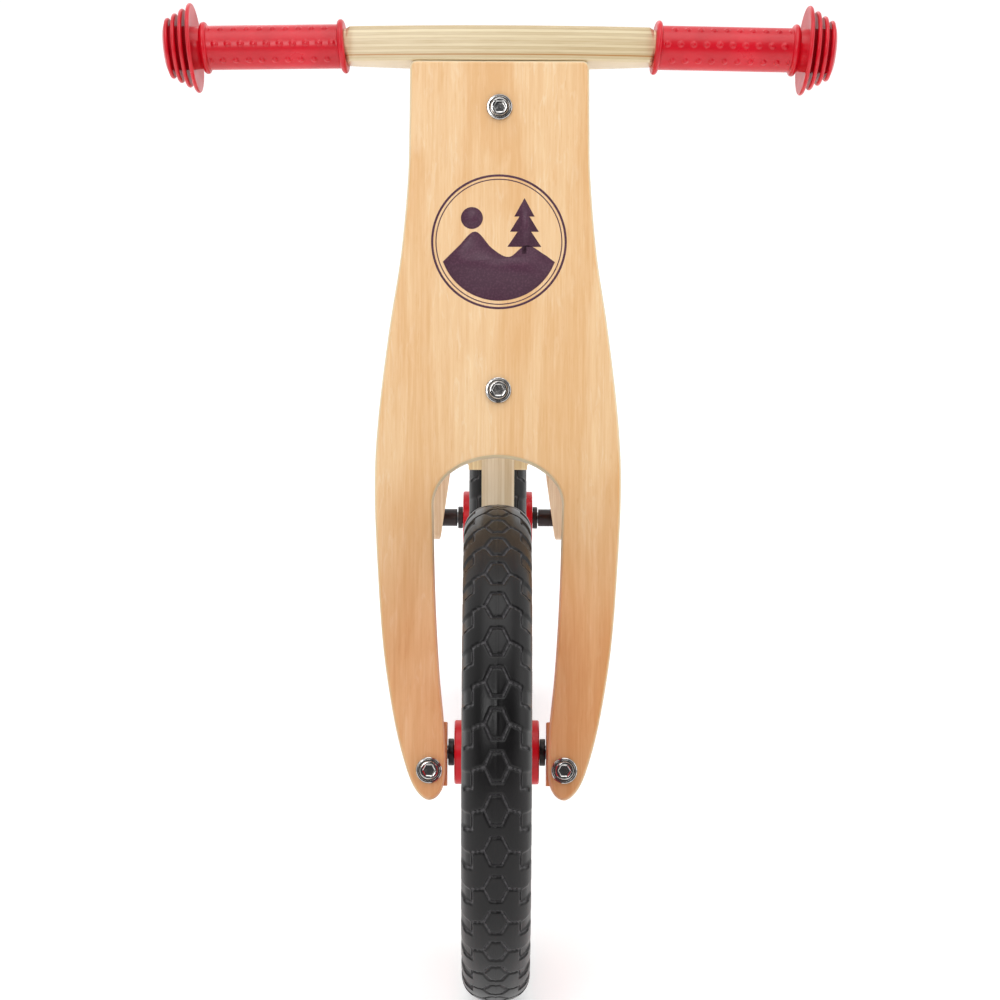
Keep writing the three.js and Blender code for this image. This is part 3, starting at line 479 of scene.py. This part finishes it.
ends = np.concatenate([BAR_HALF + np.array([0.8, 1.6, TAPER]), np.linspace(95, SPIGOT_END, 8)])
stations = np.concatenate([-ends[::-1], np.linspace(-BAR_HALF, BAR_HALF, 61), ends])
bar_rings = np.stack([bar_section(x) for x in stations])
handlebar = closed_tube("bowed_handlebar", from_fork(bar_rings))
bar_wood = wood("laminated_bar", across=2, tilt=RAKE, light="e6d2aa", dark="d2bb90", pale="ecdcb8",
                deep="bfa374", ply=1.7, grain_turn=(0, pi / 2, 0), line=BAR_BOTTOM + 3.4)
dress(handlebar, bar_wood)
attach(handlebar, "fork")
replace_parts(handlebar, "handlebar")

# ---- Grips -------------------------------------------------------------------------------------------
# Soft red vinyl mouldings pushed onto the spigots: a bead at each end of the sleeve, rows of small
# round studs, and four shrinking fins over the closed end that guard a child's hands.
red_plastic, tree, shader = new_material("red_vinyl", 0.32)
seen = tree.nodes.new("ShaderNodeTexCoord").outputs
mottle = put(tree, "ShaderNodeTexNoise", Vector=seen["Object"], Scale=45, Detail=4).outputs[0]
pitting = put(tree, "ShaderNodeTexNoise", Vector=seen["Object"], Scale=1400, Detail=2).outputs[0]
tree.links.new(blend_colour(tree, ramp(tree, mottle, 0.3, 0.7), rgb("da0e26"), rgb("c4081d")),
               shader.inputs["Base Color"])
tree.links.new(ramp(tree, mottle, 0.3, 0.7, 0.27, 0.36), shader.inputs["Roughness"])
tree.links.new(put(tree, "ShaderNodeBump", Strength=0.1, Distance=0.0002, Height=pitting).outputs[0],
               shader.inputs["Normal"])
shader.inputs["Subsurface Weight"].default_value = 0.05
shader.inputs["Subsurface Radius"].default_value = (0.004, 0.001, 0.001)

STUD_PITCH, STUD_ROWS, STUD_HEIGHT, STUD_SIZE = 7.8, 8, 1.0, 1.6
GRIP_SLANT, SLEEVE_RADIUS, GRIP_BACK = 0.095, 13.2, -19.5


def fin_profile(start, radius, root, thick=2.5):
    """Section of one fin, leaning outwards: up its inner face, round its rim and back down."""
    rim = arc(start + thick / 2, radius - thick / 2, thick / 2, thick / 2, 180, 0, 7)
    return np.vstack([[(start + thick * 0.9, root)], rim, [(start + thick + 1.2, root + 0.6)]])


def grip_profile():
    """Section of the grip as (distance along, radius), from the inner mouth to the closed end."""
    bead = arc(4.2, 14.0, 1.9, 2.2, 180, 0, 11)
    outer_bead = arc(86.8, 13.3, 2.0, 2.3, 180, 0, 11)
    fins = [fin_profile(x, r, 13.0)
            for x, r in ((92.4, 26.8), (97.4, 23.6), (102.2, 20.8), (106.8, 18.2))]
    nose = arc(108.5, 0, 3.3, 12.5, 80, 2, 9)
    return np.vstack([[(2.4, 10.8), (2.4, 13.5)], bead, [(6.4, SLEEVE_RADIUS)],
                      np.stack([np.linspace(7, 83.5, 200), np.full(200, SLEEVE_RADIUS)], -1),
                      outer_bead, [(89.4, 12.6), (91.0, 12.6)], *fins, nose, [(111.8, 0.01)]])


def stud_height(along, angle):
    """Height of the studs: rows spaced evenly round the sleeve, every other row moved on by half a
    pitch; each stud is a flat-topped mound of a smooth falling curve of the distance from its centre.
    The rows that would lie along the top and the bottom are left out."""
    row = np.round(angle / (2 * pi) * STUD_ROWS)
    off = (angle - row * 2 * pi / STUD_ROWS) * SLEEVE_RADIUS
    phase = along - 9.5 - (row % 2) * STUD_PITCH / 2
    near = phase - np.round(phase / STUD_PITCH) * STUD_PITCH
    inside = (along > 7.5) & (along < 83.2) & (row % 4 != 0)
    distance = np.hypot(off, near) / STUD_SIZE
    return STUD_HEIGHT * np.exp(-distance ** 6) * inside


def grip(side, name):
    """Revolves the profile about the swept spigot and raises the studs on its sleeve."""
    profile = grip_profile()
    angle = np.linspace(0, 2 * pi, 200, endpoint=False)
    along = profile[:, :1] + 0 * angle
    sleeve = np.abs(profile[:, 1:] - SLEEVE_RADIUS) < 0.01
    radius = profile[:, 1:] + stud_height(along, angle[None, :] + pi / 2) * sleeve
    flat, up = radius * np.cos(angle), radius * np.sin(angle)
    along = along + GRIP_SLANT * up
    x = side * (BAR_HALF + along * np.cos(SWEEP)) - side * flat * np.sin(SWEEP)
    y = GRIP_BACK + along * np.sin(SWEEP) + flat * np.cos(SWEEP)
    piece = closed_tube(name, from_fork(np.stack([x, y, up + BAR_MIDDLE], -1)), 50)
    dress(piece, red_plastic)
    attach(piece, "fork")
    return piece


for word, side in (("left", 1), ("right", -1)):
    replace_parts(grip(side, f"finned_grip_{word}"), f"grip_{word}")

# ---- Socket bolts ------------------------------------------------------------------------------------
# Chrome-plated barrel bolts with a wide flange, a raised round head and a hexagon socket. Four clamp
# the board to its blocks and two hold the handlebar down.
chrome, tree, shader = new_material("chrome_plate", 0.12, 1.0)
seen = tree.nodes.new("ShaderNodeTexCoord").outputs
haze = put(tree, "ShaderNodeTexNoise", Vector=seen["Object"], Scale=420, Detail=4).outputs[0]
tree.links.new(ramp(tree, haze, 0.35, 0.7, 0.08, 0.24), shader.inputs["Roughness"])
tree.links.new(blend_colour(tree, ramp(tree, haze, 0.4, 0.75), rgb("c4c2c0"), rgb("8f8c89")),
               shader.inputs["Base Color"])


SOCKET_HALF = 2.9


def hexagon_radius(angle, flat):
    """Distance to a hexagon's side at an angle: the half width across flats over the cosine of the
    angle from the middle of that side."""
    off = np.mod(angle, pi / 3) - pi / 6
    return flat / np.cos(off)


def socket_bolt(name, place, body, base):
    """Revolved head whose innermost rings are hexagons. place turns (across, across, outwards)
    millimetres into the bike's metres."""
    angle = np.linspace(0, 2 * pi, 60, endpoint=False)
    hexagon = hexagon_radius(angle, SOCKET_HALF)
    rings = [(hexagon * 0.02, 0.5), (hexagon, 0.5), (hexagon, 2.9), (hexagon + 0.3, 3.1)]
    head = [(3.9, 3.3), (4.7, 3.3), (5.1, 3.15), (5.35, 2.8), (5.4, 1.0), (6.1, 1.0), (6.2, 1.9),
            (6.5, 2.15), (7.1, 2.1), (7.5, 1.8), (7.7, 1.3), (7.7, 0.1), (0.02, 0.1)]
    rings += [(0 * angle + radius, height) for radius, height in head]
    points = np.stack([np.stack([r * np.cos(angle), r * np.sin(angle), 0 * angle + h], -1)
                       for r, h in rings])
    piece = closed_tube(name, place(points), 30)
    dress(piece, chrome)
    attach(piece, body)
    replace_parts(piece, base)


def on_board(x, z):
    """Place of a bolt on the board's front face."""
    return lambda p: from_fork(np.stack([p[..., 0] + x, BOARD_FRONT - p[..., 2], p[..., 1] + z], -1))


def on_bar(x):
    """Place of a bolt on top of the handlebar."""
    return lambda p: from_fork(np.stack([p[..., 0] + x, p[..., 1] - 8,
                                         p[..., 2] + BAR_BOTTOM + BAR_THICK], -1))


socket_bolt("board_socket_upper", on_board(0, 380), "fork", "board_bolt_upper")
socket_bolt("board_socket_lower", on_board(0, 212), "fork", "board_bolt_lower")
for word, side in (("left", 1), ("right", -1)):
    socket_bolt(f"leg_socket_{word}", on_board(side * 39.5, -11), "fork", f"leg_bolt_{word}")
    socket_bolt(f"bar_socket_{word}", on_bar(side * 30), "fork", f"handlebar_bolt_{word}")

# ---- Tyres -------------------------------------------------------------------------------------------
# Solid moulded foam with a shut-mould line round the middle. Grooves outline a tall hexagon on the
# crown and run from its side corners to the shoulders, where lugs stand proud in a scalloped edge.
TREAD_CELLS = 38
TYRE_RADIUS, TREAD_HALF, CELL_STEPS = 147, 24, 28
GROOVE_DEPTH, GROOVE_WIDTH, BAY_DEPTH, SEAM_HEIGHT = 1.7, 0.7, 1.1, 0.25
tyre_foam, tree, shader = new_material("tyre_foam", 0.62)
seen = tree.nodes.new("ShaderNodeTexCoord").outputs
cloud = put(tree, "ShaderNodeTexNoise", Vector=seen["Object"], Scale=28, Detail=5).outputs[0]
skin = put(tree, "ShaderNodeTexNoise", Vector=seen["Object"], Scale=1100, Detail=3).outputs[0]
groove_painted_highlight = put(tree, "ShaderNodeAttribute", {"attribute_name": "groove_painted_highlight"}).outputs["Fac"]
foam = blend_colour(tree, ramp(tree, cloud, 0.35, 0.7), rgb("0b0a0b"), rgb("171516"))
# Painted highlight: the grooves are coloured a lighter grey, standing in for light caught on their walls; the rest
# of the foam is near black.
tree.links.new(blend_colour(tree, ramp(tree, groove_painted_highlight, 0.3, 0.85), foam, rgb("5c5a5c")),
               shader.inputs["Base Color"])
tree.links.new(ramp(tree, cloud, 0.35, 0.7, 0.3, 0.42), shader.inputs["Roughness"])
shader.inputs["Specular IOR Level"].default_value = 0.28
tree.links.new(put(tree, "ShaderNodeBump", Strength=0.25, Distance=0.0003, Height=skin).outputs[0],
               shader.inputs["Normal"])
GROOVES = [((-3.2, 8.6), (3.2, 8.6)), ((3.2, 8.6), (7.2, 0)), ((7.2, 0), (3.2, -8.6)),
           ((3.2, -8.6), (-3.2, -8.6)), ((-3.2, -8.6), (-7.2, 0)), ((-7.2, 0), (-3.2, 8.6)),
           ((7.2, 0), (14.8, 2.4)), ((14.8, 2.4), (14.8, 12.6)), ((14.8, 12.6), (21, 13.8)),
           ((-7.2, 0), (-14.8, 2.4)), ((-14.8, 2.4), (-14.8, 12.6)), ((-14.8, 12.6), (-21, 13.8))]


def tread_height(across, along, pitch):
    """Depths below the crown, as two grids: the grooves', a smooth falling curve of the distance to the
    nearest one, and that of the sunk bays between the shoulder lugs, less the raised mould line."""
    depth = 0 * across
    for shift in (-pitch, 0, pitch):
        for (ax, ay), (bx, by) in GROOVES:
            run = np.array([bx - ax, by - ay])
            place = np.stack([across - ax, along + shift - ay], -1)
            share = np.clip(place @ run / (run @ run), 0, 1)
            distance = np.linalg.norm(place - share[..., None] * run, axis=-1)
            depth = np.maximum(depth, GROOVE_DEPTH * np.exp(-(distance / GROOVE_WIDTH) ** 4))
    beside = np.clip((np.abs(across) - 15.2) / 0.8, 0, 1)
    phase = np.mod(along - 2.4, pitch) / pitch
    bay = np.clip(np.minimum(phase, 0.43 - phase) / 0.05, 0, 1)
    fade = np.clip((28 - np.abs(across)) / 2, 0, 1)
    seam = SEAM_HEIGHT * np.exp(-(across / 0.5) ** 2)
    return depth * fade, BAY_DEPTH * beside * bay * fade - seam


def tyre(name, axle, body, node, turn):
    """Carries the rounded section round the axle and cuts the tread into it along the section's
    normal."""
    half = np.array([(0, 146.7), (5, 146.4), (10, 145.2), (14.5, 142.6), (18, 138.6), (19.9, 133),
                     (19.2, 127.5), (17, 122), (14.4, 118.5), (13, 116.2)])
    side = through(half, 16)
    steps = np.concatenate([[0], np.cumsum(np.linalg.norm(np.diff(side, axis=0), axis=1))])
    even = np.concatenate([np.arange(0, TREAD_HALF, 0.68), np.linspace(TREAD_HALF, steps[-1], 9)])
    side = np.stack([np.interp(even, steps, side[:, 0]), np.interp(even, steps, side[:, 1])], -1)
    section = np.vstack([(side * (-1, 1))[:0:-1], side])
    across = np.concatenate([-even[:0:-1], even])
    slope = np.gradient(section, axis=0)
    normal = np.stack([-slope[:, 1], slope[:, 0]], -1) / np.linalg.norm(slope, axis=1)[:, None]
    around = TREAD_CELLS * CELL_STEPS
    angle = np.linspace(0, 2 * pi, around, endpoint=False)
    pitch = 2 * pi * TYRE_RADIUS / TREAD_CELLS
    along = np.mod(angle * TYRE_RADIUS, pitch) - pitch / 2
    lines, bays = tread_height(across[:, None] + 0 * angle, along[None, :] + 0 * across[:, None], pitch)
    depth = lines + bays
    x = section[:, :1] - depth * normal[:, :1]
    radius = section[:, 1:] - depth * normal[:, 1:]
    swing = angle + turn
    points = np.stack([x, radius * np.cos(swing), radius * np.sin(swing)], -1) * MM + axle
    faces = np.array(tube_faces(len(section), around))
    inner = np.stack([np.arange(around), np.roll(np.arange(around), -1)], -1)
    last = (len(section) - 1) * around
    bed = np.concatenate([inner[:, ::-1], inner + last], 1)
    piece = face_outwards(add_piece(name, points.reshape(-1, 3), faces.tolist() + bed.tolist(), 80))
    dress(piece, tyre_foam)
    # How deep each point sits in a groove, stored as the mask of the painted highlight.
    line = piece.data.attributes.new("groove_painted_highlight", "FLOAT", "POINT")
    line.data.foreach_set("value", np.clip(lines / GROOVE_DEPTH, 0, 1).astype(np.float32).ravel())
    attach(piece, body)
    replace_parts(piece, node)


tyre("front_treaded_tyre", front_axle, "front_wheel", "front_tyre", pi)
tyre("rear_treaded_tyre", rear_axle, "rear_wheel", "rear_tyre", pi + 0.05)

# ---- Rims --------------------------------------------------------------------------------------------
# One red moulding for each wheel: a channel that the tyre is pressed over, six flared spokes and a
# waisted hub with a flange at each end, whose face bears on the axle collar.


def closed_loop(name, points, sharp=35.0):
    """Piece from rings of points in metres whose last ring joins the first."""
    count, around = points.shape[:2]
    faces = np.array(tube_faces(count + 1, around)) % (count * around)
    return face_outwards(add_piece(name, points.reshape(-1, 3), faces.tolist(), sharp))


def turned(name, section, axle, steps=96):
    """Closed ring made by carrying a closed section, as (x, radius), round the axle."""
    angle = np.linspace(0, 2 * pi, steps, endpoint=False)
    x = section[:, :1] + 0 * angle
    points = np.stack([x, section[:, 1:] * np.cos(angle), section[:, 1:] * np.sin(angle)],
                      -1) * MM + axle
    return closed_loop(name, points, 40)


def spoke(name, angle, axle):
    """Flared spoke: rounded rectangles from the hub to the rim, their width growing by a power of the
    distance and their thickness least half way, by a sine."""
    reach = np.linspace(13.5, 106, 16)
    share = (reach - reach[0]) / (reach[-1] - reach[0])
    wide = 6.2 + 7.5 * share ** 1.8
    thick = 5.6 - 1.2 * np.sin(share * pi)
    rings = [np.insert(rounded_ring(t, w, 1.6, 5), 1, r, axis=1) for r, w, t in zip(reach, wide, thick)]
    x, r, across = np.moveaxis(np.stack(rings), -1, 0)
    points = np.stack([x, r * np.cos(angle) - across * np.sin(angle),
                       r * np.sin(angle) + across * np.cos(angle)], -1)
    return closed_tube(name, points * MM + axle)


CHANNEL = np.array([(-12.9, 115.6), (-12.9, 108.5), (-12.2, 107.4), (-8, 105.5), (-6, 103.6), (6, 103.6),
                    (8, 105.5), (12.2, 107.4), (12.9, 108.5), (12.9, 115.6)])
HUB = np.array([(-25, 10.2), (-25, 18.2), (-24.3, 19), (-20.8, 19), (-20, 18.2), (-18, 15.2), (-14, 14.6),
                (-6.5, 17), (6.5, 17), (14, 14.6), (18, 15.2), (20, 18.2), (20.8, 19), (24.3, 19),
                (25, 18.2), (25, 10.2)])


def rim(prefix, axle, body):
    """Channel, hub and spokes of one wheel, all on the wheel's body."""
    parts = [turned(f"{prefix}_rim_channel", CHANNEL, axle), turned(f"{prefix}_hub_barrel", HUB, axle)]
    parts += [spoke(f"{prefix}_spoke_{i + 1}", radians(30 + 60 * i), axle) for i in range(6)]
    for part in parts:
        dress(part, red_plastic)
        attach(part, body)
    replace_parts(parts[0], f"{prefix}_rim")


rim("front", front_axle, "front_wheel")
rim("rear", rear_axle, "rear_wheel")

# ---- Sawn and turned small parts ---------------------------------------------------------------------
# The wooden blocks, plates and stays are sawn shapes with eased edges; nuts, axles, bushes and collars
# are turned or moulded. Each keeps its designed shape and gets its eased edge and finish here.
body_of_node = {node: body for body, members in frame["record"]["behaviour"]["bodies"].items()
                for node in members}
slot_of_node = {part["node"]: part["material_slot"] for part in frame["record"]["subparts"]}


def size_and_area(mesh):
    """Lowest and highest corner of a mesh, and its area."""
    flat = np.empty(len(mesh.vertices) * 3, np.float32)
    mesh.vertices.foreach_get("co", flat)
    area = np.empty(len(mesh.polygons), np.float32)
    mesh.polygons.foreach_get("area", area)
    corners = flat.reshape(-1, 3)
    return corners.min(0), corners.max(0), float(area.sum())


CREASE, MERGE, SLACK = radians(38), 2e-5, 3e-5


def eased(node, name, material, width):
    """Merged copy of a designed part with its flat faces made whole and its sharp edges rounded. The
    rounding shrinks until the piece stays inside its designed box and gains no area."""
    mesh = nodes[node].data.copy()
    mesh.name = name
    shape = bmesh.new()
    shape.from_mesh(mesh)
    bmesh.ops.remove_doubles(shape, verts=shape.verts, dist=MERGE)
    bmesh.ops.dissolve_limit(shape, angle_limit=radians(0.4), verts=shape.verts, edges=shape.edges)
    bmesh.ops.recalc_face_normals(shape, faces=shape.faces)
    shape.to_mesh(mesh)
    shape.free()
    mesh.shade_smooth()
    mesh.set_sharp_from_angle(angle=CREASE)
    piece = bpy.data.objects.new(name, mesh)
    bpy.context.scene.collection.objects.link(piece)
    edge = piece.modifiers.new("eased_edge", "BEVEL")
    edge.segments = 2
    edge.loop_slide = False
    edge.limit_method = "ANGLE"
    edge.angle_limit = CREASE
    edge.use_clamp_overlap = True
    low, high, area = size_and_area(mesh)
    for share in (1, 0.6, 0.3, 0.1, 0):
        edge.width = width * share * MM
        shown = piece.evaluated_get(bpy.context.evaluated_depsgraph_get())
        low_now, high_now, area_now = size_and_area(shown.data)
        inside = (low_now > low - SLACK).all() and (high_now < high + SLACK).all()
        if inside and area_now < area * 1.002:
            break
    flat = piece.modifiers.new("flat_faces", "WEIGHTED_NORMAL")
    flat.keep_sharp = True
    flat.weight = 90
    dress(piece, material)
    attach(piece, body_of_node[node])
    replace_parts(piece, node)


side_ply = wood("birch_side_plates", across=0, grain_turn=(pi / 2, 0, 0), ply=1.4, figure=0.5)
# Painted shade: the lower parts of the blocks are multiplied darker in the same way.
block_wood = wood("birch_blocks", across=1, tilt=RAKE, ply=1.8, figure=0.4, low_painted_shade="eedbcb")
beam_wood = wood("laminated_beam", across=0, grain_turn=(pi / 2, 0, 0), light="f8ebce", dark="e6d4ad",
                 pale="fff4dc", deep="d4be92", ply=2.1, figure=0.4)
base_wood = wood("birch_seat_base", across=2, grain_turn=(pi / 2, 0, 0), ply=1.4)
steel, tree, shader = new_material("zinc_steel", 0.35, 1.0)
seen = tree.nodes.new("ShaderNodeTexCoord").outputs
spangle = put(tree, "ShaderNodeTexNoise", Vector=seen["Object"], Scale=300, Detail=5).outputs[0]
tree.links.new(blend_colour(tree, ramp(tree, spangle, 0.35, 0.7), rgb("a9abad"), rgb("83868a")),
               shader.inputs["Base Color"])
tree.links.new(ramp(tree, spangle, 0.35, 0.7, 0.28, 0.45), shader.inputs["Roughness"])


def moulded(name, light, dark, roughness):
    """Plain moulded plastic with a slightly uneven tone and gloss."""
    material, tree, shader = new_material(name, roughness)
    seen = tree.nodes.new("ShaderNodeTexCoord").outputs
    tone = put(tree, "ShaderNodeTexNoise", Vector=seen["Object"], Scale=120, Detail=4).outputs[0]
    tree.links.new(blend_colour(tree, ramp(tree, tone, 0.35, 0.7), rgb(light), rgb(dark)),
                   shader.inputs["Base Color"])
    tree.links.new(ramp(tree, tone, 0.35, 0.7, roughness - 0.06, roughness + 0.08),
                   shader.inputs["Roughness"])
    return material


black_plastic = moulded("black_plastic", "1d1d1f", "2a2a2c", 0.4)
nylon = moulded("natural_nylon", "e3e0d6", "d2cec2", 0.45)
finishes = {"steel": (steel, 0.5), "chrome": (chrome, 0.5), "black_plastic": (black_plastic, 0.5),
            "nylon": (nylon, 0.3)}
woods = {"head_block": (block_wood, 2.0), "axle_block": (block_wood, 1.5), "head_plate": (side_ply, 1.6),
         "rear_stay": (side_ply, 1.6), "stay_wedge": (side_ply, 0.5), "seat_cheek": (side_ply, 1.4),
         "seat_base": (base_wood, 2.0), "frame_beam": (beam_wood, 2.2)}
for node in sorted(nodes):
    key = "_".join(node.split("_")[:2])
    wooden = slot_of_node[node] in ("birch_plywood", "laminated_wood")
    if nodes[node].hide_render or not (wooden or slot_of_node[node] in finishes):
        continue
    material, width = woods[key] if key in woods else finishes[slot_of_node[node]]
    eased(node, f"{node}_finished", material, width)

# ---- Seat --------------------------------------------------------------------------------------------
# Foam pad under a red woven cover, resting on the plywood base, with grey piping where the top meets
# the side band and a thinner cord at the hem.
cushion_low, cushion_high = (np.array(corner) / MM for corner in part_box("seat_cushion"))
SEAT_Y = (cushion_low[1] + cushion_high[1]) / 2


def seat_edge(steps):
    """Outline of the saddle from above: a round tail, sides drawn in to a narrower nose, as a smooth
    curve through half the outline, mirrored."""
    half = through([(0.1, 110), (26, 108), (45, 92), (54, 62), (55.5, 30), (52, 4), (43, -24), (34, -52),
                    (30, -78), (23, -100), (10, -110), (0.1, -111)], 12)
    whole = np.vstack([half, (half * (-1, 1))[::-1][1:-1]])
    closed = np.vstack([whole, whole[:1]])
    length = np.concatenate([[0], np.cumsum(np.linalg.norm(np.diff(closed, axis=0), axis=1))])
    even = np.linspace(0, length[-1], steps, endpoint=False)
    return np.stack([np.interp(even, length, closed[:, 0]), np.interp(even, length, closed[:, 1])], -1)


def seat_pad(shrink, low, high):
    """Closed pad: the outline scaled ring by ring, from a flat bottom to a low crowned top."""
    edge = seat_edge(96)
    rings = []
    for scale, height in ((0.02, low), (0.5, low), (0.86, low), (0.955, low + 1), (1.0, low + 6),
                          (1.0, low + 13), (0.97, low + 19), (0.9, high - 4.5), (0.76, high - 2.2),
                          (0.5, high - 0.6), (0.25, high), (0.02, high)):
        ring = edge * scale * shrink
        rings.append(np.column_stack([ring, np.full(len(ring), height)]))
    return closed_tube("seat_cover", (np.stack(rings) + (0, SEAT_Y, 0)) * MM)


def inflate(pad, voxel=0.005, pressure=4.0, most=0.007):
    """Blows the pad up as cloth for twenty frames. Each point is then held within a distance of its
    start and above the designed cushion's underside."""
    remesh = pad.modifiers.new("remesh", "REMESH")
    remesh.mode = "VOXEL"
    remesh.voxel_size = voxel
    keep(pad)
    start = places(pad.data)
    cloth = pad.modifiers.new("cloth", "CLOTH")
    cloth.settings.use_pressure = True
    cloth.settings.uniform_pressure_force = pressure
    cloth.settings.effector_weights.gravity = 0
    cloth.settings.quality = 6
    for number in range(1, 21):
        bpy.context.scene.frame_set(number)
    keep(pad)
    bpy.context.scene.frame_set(1)
    move = places(pad.data) - start
    size = np.linalg.norm(move, axis=1)[:, None]
    end = start + move * np.minimum(1, most / np.maximum(size, 1e-9))
    end[:, 2] = np.maximum(end[:, 2], cushion_low[2] * MM)
    pad.data.vertices.foreach_set("co", end.astype(np.float32).ravel())
    pad.data.update()


def places(mesh):
    """Vertex places of a mesh as an array."""
    flat = np.empty(len(mesh.vertices) * 3, np.float32)
    mesh.vertices.foreach_get("co", flat)
    return flat.reshape(-1, 3).astype(float)


def keep(piece):
    """Applies the piece's modifiers to its mesh."""
    graph = bpy.context.evaluated_depsgraph_get()
    mesh = bpy.data.meshes.new_from_object(piece.evaluated_get(graph), depsgraph=graph)
    piece.modifiers.clear()
    piece.data = mesh


pad = seat_pad(0.975, cushion_low[2] + 0.2, cushion_high[2] - 3.5)
inflate(pad)
pad.data.shade_smooth()
smooth = pad.modifiers.new("smooth", "SUBSURF")
smooth.levels = smooth.render_levels = 1

cover, tree, shader = new_material("woven_cover", 0.85)
seen = tree.nodes.new("ShaderNodeTexCoord").outputs
warp, weft = (put(tree, "ShaderNodeTexWave", {"wave_type": "BANDS", "bands_direction": axis},
                  Vector=seen["Object"], Scale=420, Distortion=0.6, Detail=1).outputs["Fac"]
              for axis in "XY")
weave = math(tree, "MAXIMUM", warp, weft)
worn = put(tree, "ShaderNodeTexNoise", Vector=seen["Object"], Scale=30, Detail=5).outputs[0]
thread = blend_colour(tree, weave, rgb("6d0f1b"), rgb("b71c2e"))
tree.links.new(blend_colour(tree, ramp(tree, worn, 0.45, 0.8, 0, 0.35), thread, rgb("cf4a55")),
               shader.inputs["Base Color"])
tree.links.new(put(tree, "ShaderNodeBump", Strength=0.5, Distance=0.0004, Height=weave).outputs[0],
               shader.inputs["Normal"])
shader.inputs["Sheen Weight"].default_value = 0.3
dress(pad, cover)
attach(pad, "seat")
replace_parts(pad, "seat_cushion")

piping_fabric = moulded("grey_piping", "55565a", "44454a", 0.6)
SEAM_BAND, SEAM_TUCK = 1.3, 0.5


def pad_side(height, bearing):
    """Distance from the saddle's middle to the cover at each bearing: the outline's distance times the
    largest share of it that the cover's points reach within 5 degrees and 1.3 mm of the height, evened
    out."""
    edge = seat_edge(360)
    angles, lengths = np.arctan2(edge[:, 1], edge[:, 0]), np.hypot(edge[:, 0], edge[:, 1])
    shown = pad.evaluated_get(bpy.context.evaluated_depsgraph_get())
    spots = places(shown.to_mesh()) / MM - (0, SEAT_Y, 0)
    spots = spots[np.abs(spots[:, 2] - height) < SEAM_BAND]
    turned = np.arctan2(spots[:, 1], spots[:, 0])
    reach = np.hypot(spots[:, 0], spots[:, 1]) / np.interp(turned, angles, lengths, period=2 * pi)
    away = np.angle(np.exp(1j * (turned[None, :] - bearing[:, None])))
    side = np.where(np.abs(away) < radians(5), reach[None, :], 0).max(1)
    side = sum(np.roll(side, shift) for shift in (-2, -1, 0, 1, 2)) / 5
    return side * np.interp(bearing, angles, lengths, period=2 * pi)


def piping(name, height, radius):
    """Round cord sewn into the seam: a circle carried round the cover's side at one height."""
    bearing = np.linspace(0, 2 * pi, 180, endpoint=False)
    side = pad_side(height, bearing) - SEAM_TUCK
    line = np.stack([side * np.cos(bearing), side * np.sin(bearing)], -1)
    ahead = np.roll(line, -1, 0) - np.roll(line, 1, 0)
    ahead /= np.linalg.norm(ahead, axis=1)[:, None]
    out = np.stack([ahead[:, 1], -ahead[:, 0]], -1)
    turn = np.linspace(0, 2 * pi, 12, endpoint=False)
    x = line[:, :1] + out[:, :1] * radius * np.cos(turn)
    y = line[:, 1:] + out[:, 1:] * radius * np.cos(turn) + SEAT_Y
    z = height + radius * np.sin(turn) + 0 * x
    piece = closed_loop(name, np.stack([x, y, z], -1) * MM)
    dress(piece, piping_fabric)
    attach(piece, "seat")


piping("seat_piping", cushion_low[2] + 16.5, 1.5)
piping("seat_hem", cushion_low[2] + 2.6, 1.1)
